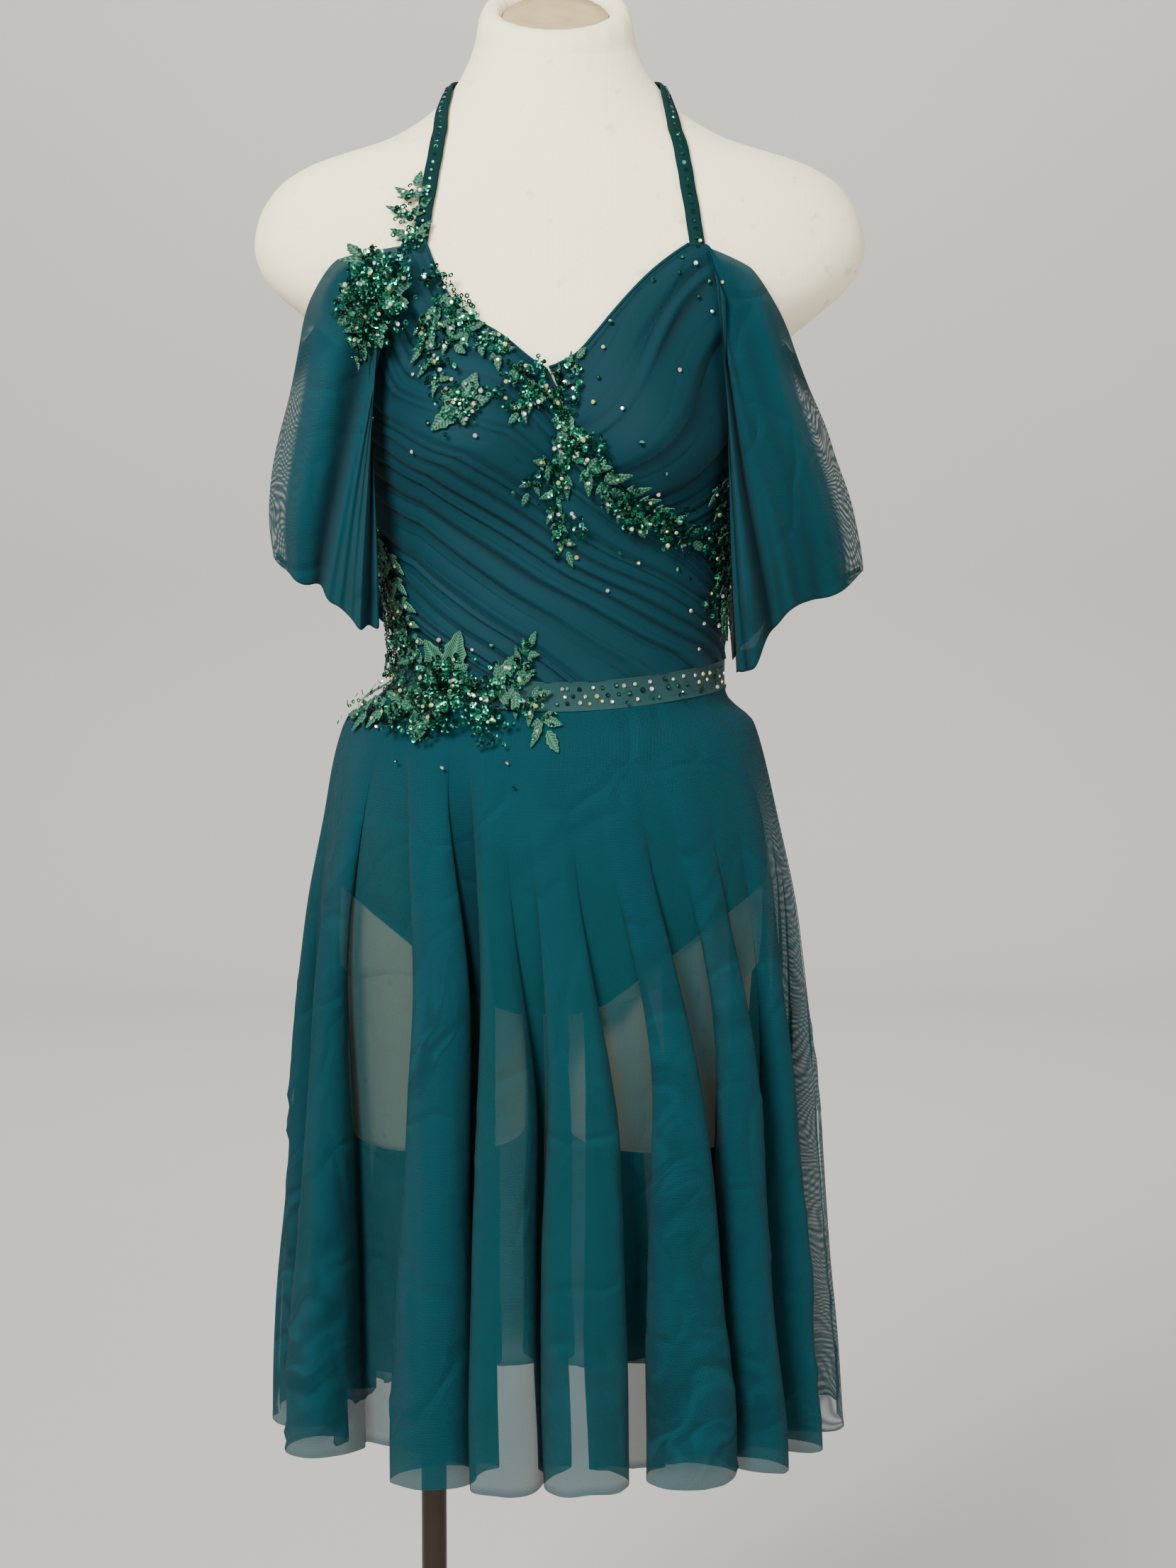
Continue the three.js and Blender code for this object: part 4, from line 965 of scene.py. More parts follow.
# %% Lay the straps
STRAP_PATH = [(98, 1294), (96.5, 1305), (94, 1322), (90, 1345), (85, 1372), (79, 1396)]
STRAP_NECK = [(1.42, 1415), (1.9, 1423), (2.5, 1428), (math.pi - 0.006, 1430)]
strap_route = spline(pinned(STRAP_PATH) + [on_body(angle, z) for angle, z in STRAP_NECK], 30)
STRAP_RISE = 2.2
STRAP_SECTION = [(-5.5, 0.2), (-5.3, 1.3), (-4.4, 1.9), (0, 2.2), (4.4, 1.9), (5.3, 1.3), (5.5, 0.2), (0, 0)]
strap_lines = {}
for hand, name, node in ((-1, "strap_left_band", "strap_left"), (1, "strap_right_band", "strap_right")):
    angle, z = hand * strap_route[:, 0] / ARC, strap_route[:, 1]
    middle = off(angle, z, 0.0)
    out = unit(off(angle, z, 1.0) - middle)
    along = unit(np.gradient(middle, axis=0))
    wide = unit(np.cross(along, out))
    grid = np.stack([middle + wide * a + out * (STRAP_RISE + b) for a, b in STRAP_SECTION], 1)
    faces = grid_faces(len(middle), len(STRAP_SECTION), around=True)
    pattern = np.stack([np.tile([a for a, b in STRAP_SECTION], len(middle)),
                        np.repeat(np.arange(len(middle)) * 2.4, len(STRAP_SECTION))], -1)
    new_object(name, grid.reshape(-1, 3), faces, pattern)
    place(name, "strap_mesh", node)
    strap_lines[name] = (middle + out * 2 * STRAP_RISE, out)

# %% [markdown]
# ## Lace applique
# Embroidered lace is cut into motifs and sewn on: leaves along a stem, and flowers with a sequined heart.
# One leaf is a small crowned patch with a toothed edge. It is made once as a function and laid many times, each
# time bent to the surface below it. A number on each point says how much raised thread is there.

# %% Leaf, petal, sequin and stone
FACETS = 8
lace_points, lace_faces, lace_thread, lace_pattern = [], [], [], []


def lace_surface(x, z, rise):
    """A point of the lace at a seam-line place, and clear of the skirt where it hangs over it."""
    angle = np.asarray(x, float) / ARC
    z = np.asarray(z, float)
    p = off(angle, z, rise + 0 * angle)
    reach = skirt_reach(angle, z) + CLOTH + 0.6 + np.maximum(0, rise - LACE_FOOT)
    r = np.hypot(p[..., 0] - skirt_shift(z), p[..., 1])
    grow = np.where(z > waist_foot(angle) + 4, 1, np.maximum(1, reach / r))
    over = np.stack([skirt_shift(z) + (p[..., 0] - skirt_shift(z)) * grow, p[..., 1] * grow, p[..., 2]], -1)
    return np.where((z > waist_foot(angle) + 4)[..., None], p, over)


def leaf(x, z, turn, length, width, rise, teeth=0.12, cup=0.0):
    t = np.linspace(0, 1, 9)
    a = np.linspace(-1, 1, 7)
    outline = np.sin(math.pi * t**0.8) ** 0.85 * (1 + teeth * np.where(np.arange(9) % 2, 1, -1))
    outline[-1] = 0.03
    T, A = np.meshgrid(t, a, indexing="ij")
    reach = A * outline[:, None] * width / 2
    along = T * length
    px = x + along * math.cos(turn) - reach * math.sin(turn)
    pz = z + along * math.sin(turn) + reach * math.cos(turn)
    crown = rise + 0.9 * (1 - np.abs(np.abs(A) - 0.5) * 2) - 0.2 + cup * T
    first = sum(len(p) for p in lace_points)
    lace_points.append(lace_surface(px, pz, crown).reshape(-1, 3))
    lace_faces.extend([[first + k for k in face] for face in grid_faces(9, 7)])
    vein = np.maximum(np.abs(A) ** 4, (np.abs(A) < 0.1) * 1.0)
    lace_thread.append(vein.ravel())
    lace_pattern.append(np.stack([along, reach], -1).reshape(-1, 2))


def finish_lace(name, node):
    points = np.concatenate(lace_points)
    piece = new_object(name, points, list(lace_faces), np.concatenate(lace_pattern))
    keep_numbers(piece, "thread", np.concatenate(lace_thread))
    for store in (lace_points, lace_faces, lace_thread, lace_pattern):
        store.clear()
    place(name, "lace", node)


def discs(name, spots, radii, tilt, seed, height, inner, slot, hole=False):
    """Sequins or stones: a low faceted cone on each spot, turned and tilted at random by the seed."""
    rng = np.random.default_rng(seed)
    points, faces = [], []
    for (p, out), radius in zip(spots, radii):
        lean = unit(out + rng.normal(0, tilt, 3))
        one = unit(np.cross(lean, [0.3, 0.2, 1]))
        two = np.cross(lean, one)
        turn = circle(FACETS) + rng.uniform(0, 6)
        ring = np.cos(turn)[:, None] * one + np.sin(turn)[:, None] * two
        first = len(points)
        points.extend(p + ring * radius)
        points.extend(p + ring * radius * inner + lean * height * radius)
        faces.extend([first + k for k in face] for face in grid_faces(2, FACETS, around=True))
        if not hole:
            faces.append([first + FACETS + k for k in range(FACETS)])
    new_object(name, points, faces, smooth_shading=False)
    place(name, slot)


# %% [markdown]
# The motifs are placed as a costume maker pins them: by where they sit as seen from the front. A spray has a
# stem, pairs of leaves and a leaf at its tip. Around every motif sequins and stones are noted, to be set later.

# %% Sprays and flowers
sequin_spots, stone_spots, dark_spots = [], [], []
rng = np.random.default_rng(77)


def spot(x, z, rise):
    p = lace_surface(np.array([x]), np.array([z]), np.array([rise]))[0]
    q = lace_surface(np.array([x]), np.array([z]), np.array([rise + 1.0]))[0]
    return p, unit(q - p)


def spray(stem, pairs, length, rise, width=0.37, sideways=False):
    line = spline(stem if sideways else pinned(stem), 20)
    heading = np.gradient(line, axis=0)
    for k in range(pairs):
        i = int((k + 0.35) / pairs * (len(line) - 1))
        turn = math.atan2(heading[i][1], heading[i][0])
        size = length * (1 - 0.3 * (k + 0.35) / pairs)
        for hand in (-1, 1):
            bend = 0.85 + rng.uniform(-0.15, 0.2)
            aside = turn + hand * bend
            leaf(*line[i], aside, size * rng.uniform(0.9, 1.15), size * width, rise, cup=rng.uniform(0, 1.2))
            leaf(*line[i], aside + hand * 0.7, size * 0.6, size * 0.26, rise + 0.5, cup=0.6)
            tip = line[i] + size * 0.5 * np.array([math.cos(aside), math.sin(aside)])
            if rng.random() < 0.45:
                stone_spots.append(spot(*tip, rise + 1.2))
        for _ in range(9):
            q = line[i] + rng.normal(0, length * 0.26, 2)
            sequin_spots.append(spot(*q, rise + rng.uniform(1.2, 2.4)))
        dark_spots.append(spot(*line[i], rise + 1.5))
    turn = math.atan2(heading[-1][1], heading[-1][0])
    leaf(*line[-1], turn, length * 0.75, length * 0.36, rise)


def flower(x, z, radius, petals, turn, rise):
    middle = at_front(x, z)
    for ring, (size, lift) in enumerate(((1.0, 0.0), (0.68, 1.0))):
        for k in range(petals):
            angle = turn + (k + 0.5 * ring) / petals * 2 * math.pi
            foot = (middle[0] + 2 * math.cos(angle), middle[1] + 2 * math.sin(angle))
            size_here = radius * size * rng.uniform(0.6, 1.2)
            leaf(*foot, angle + rng.normal(0, 0.22), size_here, size_here * 0.55, rise + lift, cup=0.8)
    for _ in range(int(radius * 2.2)):
        q = np.array(middle) + rng.normal(0, radius * 0.36, 2)
        sequin_spots.append(spot(*q, rise + rng.uniform(2.2, 3.4)))
    for _ in range(int(radius * 0.45)):
        q = np.array(middle) + rng.normal(0, radius * 0.42, 2)
        stone_spots.append(spot(*q, rise + 2.6))
    for k in range(7):
        q = np.array(middle) + 3.2 * np.array([math.cos(k), math.sin(k)]) * (k > 0)
        dark_spots.append(spot(*q, rise + 3.0))


F = LACE_FOOT
# Shoulder: one large flower over the gathers, with leaves down the sleeve and up the strap.
flower(-126, 1264, 19, 6, 0.4, F + 9.6)
spray([(-120, 1250), (-130, 1236), (-134, 1222)], 3, 19, F + 11)
spray([(-118, 1274), (-128, 1284), (-134, 1290)], 2, 14, F + 10.6)
finish_lace("lace_on_shoulder", "lace_shoulder")
spray([(-101, 1300), (-102, 1316), (-104, 1328), (-100, 1340)], 3, 15, F - 3.0)
finish_lace("lace_on_strap", "lace_strap_spray")
spray([(-84, 1258), (-66, 1240), (-46, 1225), (-24, 1203)], 6, 18, F - 0.6)
spray([(-96, 1244), (-84, 1238), (-70, 1226)], 3, 15, F - 0.2)
finish_lace("lace_along_neckline", "lace_neckline")
spray([(-92, 1230), (-89, 1219), (-84, 1206), (-76, 1196)], 3, 14, F - 0.6)
finish_lace("lace_leaves_left_cup", "lace_left_cup_spray")
flower(-66, 1184, 18, 5, 0.2, F - 1.4)
finish_lace("lace_flower_left_cup", "lace_left_cup")
spray([(6, 1176), (-4, 1192), (4, 1206), (14, 1218)], 4, 15, F - 1.0)
spray([(-12, 1196), (-22, 1190), (-30, 1180)], 3, 13, F - 0.8)
finish_lace("lace_leaves_bust", "lace_bust_spray")
flower(9, 1158, 21, 5, 0.5, F - 1.0)
finish_lace("lace_flower_bust", "lace_bust")
spray([(8, 1142), (-3, 1124), (-1, 1106), (6, 1086)], 5, 17, F - 1.5)
spray([(-6, 1150), (-16, 1140), (-22, 1128)], 2, 14, F - 1.2)
finish_lace("lace_below_bust_leaves", "lace_below_bust")
spray([(22, 1146), (46, 1128), (66, 1114), (90, 1094)], 7, 18, F + 1.8)
spray([(34, 1130), (44, 1118), (54, 1104)], 3, 13, F + 1.4)
finish_lace("lace_along_wrap", "lace_diagonal")
spray([(110, 1136), (114, 1104), (115, 1072), (113, 1042)], 7, 15, F - 1.1)
finish_lace("lace_right_side", "lace_side")
spray([(-178, 1096), (-182, 1060), (-172, 1030), (-174, 992)], 7, 26, F - 0.5, sideways=True)
spray([(-160, 1086), (-156, 1060), (-150, 1036), (-140, 1016)], 5, 20, F - 0.2, sideways=True)
finish_lace("lace_left_side", "lace_waist_side")
flower(-79, 990, 34, 7, 0.1, F - 0.2)
spray([(-98, 1006), (-108, 1024), (-112, 1044)], 4, 20, F)
spray([(-96, 980), (-110, 970), (-120, 966)], 3, 20, F)
finish_lace("lace_at_waist", "lace_waist")
spray([(-46, 994), (-30, 990), (-16, 976), (-8, 958)], 4, 25, F - 0.5)
spray([(-34, 992), (-26, 1004), (-20, 1018)], 3, 18, F - 0.2)
finish_lace("lace_right_of_waist", "lace_waist_spray")

# %% [markdown]
# ## Stones
# Loose stones are scattered over the ruched cloth near the lace, in rows on the waistband and in one line on
# each strap. They are small faceted domes, and the material alone decides whether they are green or clear.


# %% Scatter the loose stones
SEEN_ANGLE = 1.42


def from_view(px, py):
    """The place on the front of the body, x and z, that the camera sees at a pixel of the full frame."""
    right = (np.asarray(px, float) - FRAME[0] / 2) / FOCAL_PIXELS
    up = (FRAME[1] / 2 - np.asarray(py, float)) / FOCAL_PIXELS
    along_y = math.cos(CAMERA_TILT) + up * math.sin(CAMERA_TILT)
    along_z = up * math.cos(CAMERA_TILT) - math.sin(CAMERA_TILT)
    y = np.full(right.shape, -100.0)
    for _ in range(4):
        far = (y - CAMERA_AT[1]) / along_y
        x, z = CAMERA_AT[0] + far * right, CAMERA_AT[2] + far * along_z
        y = skin(angle_at(x, z), z)[..., 1]
    return x, z


def spots_at(px, py, rise):
    x, z = from_view(px, py)
    angle = angle_at(x, z)
    seen = np.abs(angle) < SEEN_ANGLE
    places, z, rise = angle[seen] * ARC, z[seen], np.broadcast_to(rise, angle.shape)[seen]
    p = lace_surface(places, z, rise)
    return list(zip(p, unit(lace_surface(places, z, rise + 1.0) - p)))


# %% [markdown]
# The heavy clusters are sequins laid edge over edge. Their places come from a loose honeycomb with a little
# disorder, kept inside an oval whose edge waves, so that the cluster doesn't end in a clean line.

# %% Sequin clusters
CLUSTERS = """
x    y    wide tall turn full rise
552  386  40   27   0.0  1.0  20.0
541  422  46   38   0.3  1.0  21.5
556  470  32   26   0.0  0.8  19.0
574  318  17   34   0.1  0.5  6.0
622  398  26   16   0.5  0.7  9.5
658  440  28   15   0.8  0.7  9.0
696  488  22   13   0.9  0.6  9.0
630  520  24   13   0.6  0.5  9.0
640  566  22   22   0.0  0.35 9.0
752  540  20   34   0.4  0.6  9.5
800  556  26   44   0.2  0.5  9.5
716  560  24   24   0.0  0.5  9.5
836  628  36   20   0.3  0.7  10.0
778  672  24   24   0.0  0.4  9.5
812  742  18   26   0.0  0.3  9.5
898  718  34   26   0.5  0.6  12.0
950  742  28   40   0.0  0.6  12.0
1006 760  26   48   0.1  0.9  11.0
1010 850  28   50   0.0  1.0  10.0
1020 680  14   30   0.0  0.7  10.0
548  846  20   30   0.3  0.8  10.0
566  898  30   34   0.0  0.8  10.5
548  960  34   40   0.0  1.0  11.0
530  1010 24   30   0.4  0.8  11.0
616  960  40   28   0.0  1.0  11.5
664  990  50   42   0.0  1.0  12.0
612  1020 36   26   0.3  0.9  11.5
700  1030 26   26   0.0  0.7  11.0
744  1000 18   14   0.0  0.5  10.0
"""


def cluster(x, y, wide, tall, turn, full, rise):
    step = 6.4
    across, down = np.meshgrid(np.arange(-12, 13), np.arange(-12, 13))
    px = (across + 0.5 * (down % 2)) * step + rng.normal(0, 1.1, across.shape)
    py = down * step * 0.87 + rng.normal(0, 1.1, across.shape)
    u = (px * math.cos(turn) + py * math.sin(turn)) / wide
    v = (py * math.cos(turn) - px * math.sin(turn)) / tall
    edge = 1 + 0.16 * np.sin(5 * np.arctan2(v, u) + x)
    keep = (np.hypot(u, v) < edge) & (rng.random(across.shape) < 0.35 + 0.65 * full)
    keep &= rng.random(across.shape) < full + 0.15
    sequin_spots.extend(spots_at(x + px[keep], y + py[keep], rise + rng.uniform(0, 1.6, keep.sum())))
    few = max(2, int(keep.sum() * 0.035))
    angles, reach = rng.uniform(0, 6.3, 2 * few), np.sqrt(rng.random(2 * few)) * 0.95
    stones = spots_at(x + wide * reach * np.cos(angles), y + tall * reach * np.sin(angles), rise + 2.4)
    stone_spots.extend(stones[:few])
    dark_spots.extend(stones[few:])


for row in rows_of(CLUSTERS):
    cluster(**row)
for _ in range(330):
    place_on_side = rng.uniform(-206, -164), rng.uniform(992, 1092)
    if abs(place_on_side[0] + 182) < 20 - 0.08 * abs(place_on_side[1] - 1020):
        sequin_spots.append(spot(*place_on_side, F + rng.uniform(1.5, 3)))
print("sequins in clusters:", len(sequin_spots))

# %% [markdown]
# Loose stones lie far apart over the ruched cloth, some clear and some green. A designer sets them by eye, and
# here too they are a short list of places, followed by the rows on the waistband.

# %% Loose stones
CLEAR_STONES = [(592, 532), (526, 572), (671, 615), (593, 634), (813, 785), (855, 832), (897, 792), (966, 860),
                (983, 878), (976, 915), (852, 494), (880, 580), (841, 570), (952, 528), (979, 374), (985, 343),
                (1015, 400), (764, 650), (671, 916), (627, 902), (720, 949), (645, 1084), (723, 1077), (502, 1023),
                (571, 1028), (924, 690), (613, 910)]
GREEN_STONES = [(539, 590), (613, 599), (723, 690), (785, 785), (872, 778), (847, 537), (861, 458), (956, 388),
                (919, 398), (960, 366), (996, 398), (1014, 420), (981, 420), (1022, 466), (905, 624), (934, 661),
                (996, 688), (1023, 670), (965, 814), (950, 801), (697, 909), (591, 1076), (511, 1081), (732, 1110),
                (1000, 440)]
on_cloth = EASE + CLOTH + 3.0
stone_spots += spots_at(*np.array(CLEAR_STONES, float).T, on_cloth)
dark_spots += spots_at(*np.array(GREEN_STONES, float).T, on_cloth)
STONE_ROWS, STONES_IN_ROW, ROW_END = 3, 17, 1.42
for row in range(STONE_ROWS):
    for k in range(STONES_IN_ROW):
        angle = 0.02 + ROW_END * (k + 0.5 * (row % 2)) / STONES_IN_ROW + rng.normal(0, 0.012)
        z = float(waist_top(angle)) - 4.4 - 5.6 * row + rng.normal(0, 0.6)
        store = dark_spots if rng.random() < 0.5 else stone_spots
        store.append(spot(angle * ARC, z, EASE + CLOTH + 1.3))
strap_spots = []
for middle, out in strap_lines.values():
    length = run_length(middle)
    for d in np.arange(4, length[-1] - 2, 6.2):
        i = int(np.searchsorted(length, d))
        strap_spots.append((middle[i], out[i]))

sizes = rng.uniform(0.8, 1.15, len(sequin_spots) + len(stone_spots) + len(dark_spots))
discs("sequins", sequin_spots, sizes * 1.9, 0.34, 5, -0.14, 0.36, "lace", hole=True)
discs("clear_stones", stone_spots, sizes * 1.6, 0.1, 6, 0.5, 0.55, "lace")
discs("green_stones", dark_spots, sizes * 1.7, 0.1, 7, 0.5, 0.55, "lace")
discs("strap_stones", strap_spots, np.full(len(strap_spots), 1.7), 0.05, 8, 0.5, 0.55, "strap_mesh")
print("sequins", len(sequin_spots), "clear stones", len(stone_spots), "green stones", len(dark_spots))

# %% [markdown]
# ## Materials
# Effects that several finishes share are node groups: a slow change of shade, a fine net, the ripple of doubled
# mesh and faint creases with painted light and shade. A group gives only colours, masks and heights. The shader
# itself stays in each material.

# %% Node helpers
WHITE = (1, 1, 1, 1)
TURN = 6.2832


class Nodes:
    """Short ways to add nodes to one tree. A value may be a number or another node's output."""

    def __init__(self, tree):
        self.tree = tree
        self.link = tree.links.new

    def add(self, kind, values=(), **settings):
        node = self.tree.nodes.new("ShaderNode" + kind)
        for key, value in settings.items():
            setattr(node, key, value)
        for key, value in dict(values).items():
            if isinstance(value, bpy.types.NodeSocket):
                self.link(value, node.inputs[key])
            else:
                node.inputs[key].default_value = value
        return node

    def maths(self, operation, a, b=0.0):
        return self.add("Math", {0: a, 1: b}, operation=operation).outputs[0]

    def times(self, a, b):
        return self.maths("MULTIPLY", a, b)

    def plus(self, a, b):
        return self.maths("ADD", a, b)

    def where(self):
        return self.add("TexCoord").outputs["Object"]

    def flat(self):
        return self.add("UVMap", uv_map="cloth").outputs["UV"]

    def part(self, vector, axis):
        return self.add("SeparateXYZ", {"Vector": vector}).outputs[axis]

    def kept(self, name):
        return self.add("Attribute", attribute_name=name).outputs["Fac"]

    def noise(self, where, scale, detail, output="Fac"):
        values = {"Vector": where, "Scale": scale, "Detail": detail}
        return self.add("TexNoise", values).outputs[output]

    def blend(self, factor, a, b):
        return self.add("Mix", {"Factor": factor, "A": a, "B": b}, data_type="RGBA").outputs[2]

    def ranged(self, value, start, end, low=0.0, high=1.0):
        values = {"Value": value, "From Min": start, "From Max": end, "To Min": low, "To Max": high}
        return self.add("MapRange", values).outputs[0]

    def stripes(self, along, per_metre):
        return self.maths("SINE", self.times(self.times(along, per_metre), TURN))

    def group(self, tree, **values):
        node = self.add("Group", node_tree=tree)
        for key, value in values.items():
            node.inputs[key.replace("_", " ")].default_value = value
        return node.outputs

    def bump(self, shader, height, strength, distance):
        node = self.add("Bump", {"Height": height, "Strength": strength, "Distance": distance})
        self.link(node.outputs[0], shader["Normal"])


def new_group(name, inputs, outputs):
    """An empty group. Colour and Other are colours, and every other input or output is a number."""
    tree = bpy.data.node_groups.new(name, "ShaderNodeTree")

    def socket(label, side):
        kind = "NodeSocketColor" if label in ("Colour", "Other") else "NodeSocketFloat"
        return tree.interface.new_socket(label, in_out=side, socket_type=kind)

    for label, value in inputs.items():
        socket(label, "INPUT").default_value = value
    for label in outputs:
        socket(label, "OUTPUT")
    return tree, Nodes(tree), tree.nodes.new("NodeGroupInput").outputs, tree.nodes.new("NodeGroupOutput").inputs


# %% [markdown]
# Slow shade: large soft patches mix two close colours, because dyed cloth and old foam are never quite even.

# %% Group: slow change of shade
slow_shade, n, given, result = new_group(
    "slow_shade", {"Colour": WHITE, "Other": WHITE, "Scale": 12.0}, ("Colour", "Mask")
)
cloud = n.noise(n.where(), given["Scale"], 4.0)
n.link(n.blend(cloud, given["Colour"], given["Other"]), result["Colour"])
n.link(cloud, result["Mask"])

# %% [markdown]
# Net: stretch mesh is a fine grid of threads. Two crossed waves on the flat pattern make it. Its height feeds the
# bump, and its holes thin the cloth a little.

# %% Group: fine net
fine_net, n, given, result = new_group("fine_net", {"Threads per metre": 900.0}, ("Height", "Holes"))
flat = n.flat()
height = n.maths("MAXIMUM", *(n.stripes(n.part(flat, axis), given[0]) for axis in "XY"))
n.link(height, result["Height"])
n.link(n.maths("LESS_THAN", height, 0.2), result["Holes"])

# %% [markdown]
# Ripple: where two layers of fine mesh lie a little apart, their threads beat against each other and draw
# wandering lines. Bent stripes along the height imitate that, and they thin or thicken the cloth a little.

# %% Group: ripple of doubled mesh
mesh_ripple, n, given, result = new_group("mesh_ripple", {"Lines per metre": 150.0}, ("Lines",))
where = n.where()
moved = n.plus(n.part(where, "Z"), n.times(n.noise(where, 16.0, 1.0), 0.09))
n.link(n.stripes(moved, given[0]), result["Lines"])

# %% [markdown]
# Creases: stored mesh keeps faint sharp creases that cross the folds. The edges of large distorted cells give
# such lines for the bump. Slanted streaks of painted light and painted shade, lighter on one side and darker on
# the other, stand for how light falls on the creases that a packed skirt keeps; they come in patches and fade out
# towards the waist, where the cloth hangs smooth.

# %% Group: faint creases and painted shading on them
faint_creases, n, given, result = new_group("faint_creases", {"Scale": 14.0}, ("Height", "Painted shading"))
where = n.where()
cloud = n.noise(where, 9.0, 2.0, "Color")
moved = n.add("Mix", {"Factor": 0.12, "A": where, "B": cloud}, data_type="VECTOR").outputs[1]
cells = n.add("TexVoronoi", {"Vector": moved, "Scale": given[0]}, feature="DISTANCE_TO_EDGE")
lines = n.times(n.ranged(cells.outputs["Distance"], 0.0, 0.09), 0.8)
n.link(n.plus(lines, n.times(n.noise(where, 20.0, 3.0), 2.0)), result["Height"])
leaning = n.add("VectorRotate", {"Vector": moved, "Axis": (0.0, 1.0, 0.0), "Angle": 0.8}).outputs[0]
slanted = n.add("Mapping", {"Vector": leaning, "Scale": (9.0, 16.0, 36.0)}).outputs[0]
streaks = n.add("TexNoise", {"Vector": slanted, "Scale": 1.0, "Detail": 1.0, "Distortion": 0.8}).outputs["Fac"]
across = n.ranged(streaks, 0.38, 0.62, -1.0)
two_sided = n.times(across, n.maths("SUBTRACT", 1.0, n.maths("ABSOLUTE", across)))
patches = n.ranged(n.noise(where, 7.0, 1.0), 0.45, 0.62)
below = n.ranged(n.part(where, "Z"), 0.95, 0.7)
# Lighter on one side of each streak and darker on the other: painted light and painted shade.
painted_streak_shading = n.times(n.times(two_sided, patches), below)
n.link(n.plus(n.times(painted_streak_shading, 0.95), 1.0), result["Painted shading"])

# %% [markdown]
# Every material starts from the same small recipe: a Principled shader with its even values set on the shader,
# and only the values that vary linked in.


# %% Material recipe
def new_material(name, **even):
    material = bpy.data.materials.new(name)
    material.use_nodes = True
    shader = material.node_tree.nodes["Principled BSDF"].inputs
    for key, value in even.items():
        shader[key.replace("_", " ")].default_value = value
    return material, Nodes(material.node_tree), shader


def paint(material, *names):
    for name in names:
        data = made[name].data
        data.materials.clear()
        data.materials.append(material)


def slow_material(name, colour, other, scale, pieces, **even):
    """A material that changes slowly between two shades."""
    material, n, shader = new_material(name, **even)
    shade = n.group(slow_shade, Colour=colour, Other=other, Scale=scale)
    n.link(shade["Colour"], shader["Base Color"])
    paint(material, *pieces)
    return n, shader, shade


def crease_shaded_colour(n, bright, soft, dark):
    """Two near shades mixed slowly, with painted shade down in the creases, where little light gets in."""
    shade = n.group(slow_shade, Colour=bright, Other=soft, Scale=14.0)
    return n.blend(n.kept("crease"), shade["Colour"], dark)


# %% [markdown]
# Ruched bodice: teal stretch mesh over a lining of the same colour. It is opaque, and it has a soft sheen, since
# light catches the tiny raised threads at a low angle.

# %% Bodice cloth
BODICE_CLOTHS = [
    ("bodice_cloth", 0.03, (0.0021, 0.027, 0.036, 1), (0.0017, 0.022, 0.030, 1), (0.0007, 0.0095, 0.013, 1),
     ["wrap_front", "bodice_back_panel", *RIMS, "briefs_front_panel", "briefs_back_panel"]),
    # The cup has a slightly darker copy of the bodice colours: painted shade.
    ("shaded_cup_cloth", 0.02, (0.0018, 0.025, 0.033, 1), (0.0015, 0.021, 0.028, 1), (0.0008, 0.0095, 0.013, 1),
     ["cup_front"]),
]
for name, sheen, bright, soft, dark, pieces in BODICE_CLOTHS:
    cloth, n, shader = new_material(name, Roughness=0.7, Sheen_Weight=sheen, Sheen_Roughness=0.4,
                                    Specular_IOR_Level=0.08)
    # Down in the creases the colour turns to the dark one: painted shade.
    n.link(crease_shaded_colour(n, bright, soft, dark), shader["Base Color"])
    n.bump(shader, n.group(fine_net, Threads_per_metre=1100.0)["Height"], 0.2, 0.0002)
    paint(cloth, *pieces)

# %% [markdown]
# Sheer mesh: one layer hides about four fifths of what is behind it. Where folds lie over each other the layers
# add up, so the cloth darkens by itself. Side walls of folds and the rolled hem are denser, by a mask, and where
# the mask is low the colour is a lighter teal: painted light for a single layer lit through from behind.

# %% Sheer cloth
sheer_cloth, n, shader = new_material("sheer_cloth", Roughness=0.75, Sheen_Weight=0.02, Sheen_Roughness=0.45,
                                      Specular_IOR_Level=0.05)
# The skirt and sleeves take the dark colour in their creases as painted shade.
shade = crease_shaded_colour(n, (0.0034, 0.046, 0.058, 1), (0.0028, 0.037, 0.048, 1), (0.0008, 0.012, 0.017, 1))
net = n.group(fine_net, Threads_per_metre=900.0)
creases = n.group(faint_creases, Scale=13.0)
n.bump(shader, n.plus(n.times(net["Height"], 0.12), creases["Height"]), 0.75, 0.0034)
dense = n.kept("dense")
# The streaks lighten and darken the colour: painted light and painted shade on the creases.
streak_shaded = n.add("HueSaturation", {"Color": shade, "Value": creases["Painted shading"]}).outputs[0]
# A lighter teal where the cloth is thin: painted light shining through a single layer.
n.link(n.blend(dense, (0.0036, 0.052, 0.062, 1), streak_shaded), shader["Base Color"])
doubled = n.kept("ripple")
lines = n.group(mesh_ripple, Lines_per_metre=230.0)["Lines"]
alpha = n.plus(n.times(dense, 0.2), 0.79)
for change, amount in ((doubled, -0.16), (net["Holes"], -0.05), (n.times(lines, doubled), 0.25)):
    alpha = n.plus(alpha, n.times(change, amount))
n.link(alpha, shader["Alpha"])
paint(sheer_cloth, "skirt_front_panel", "skirt_back_panel", "sleeve_left_drape", "sleeve_right_drape")

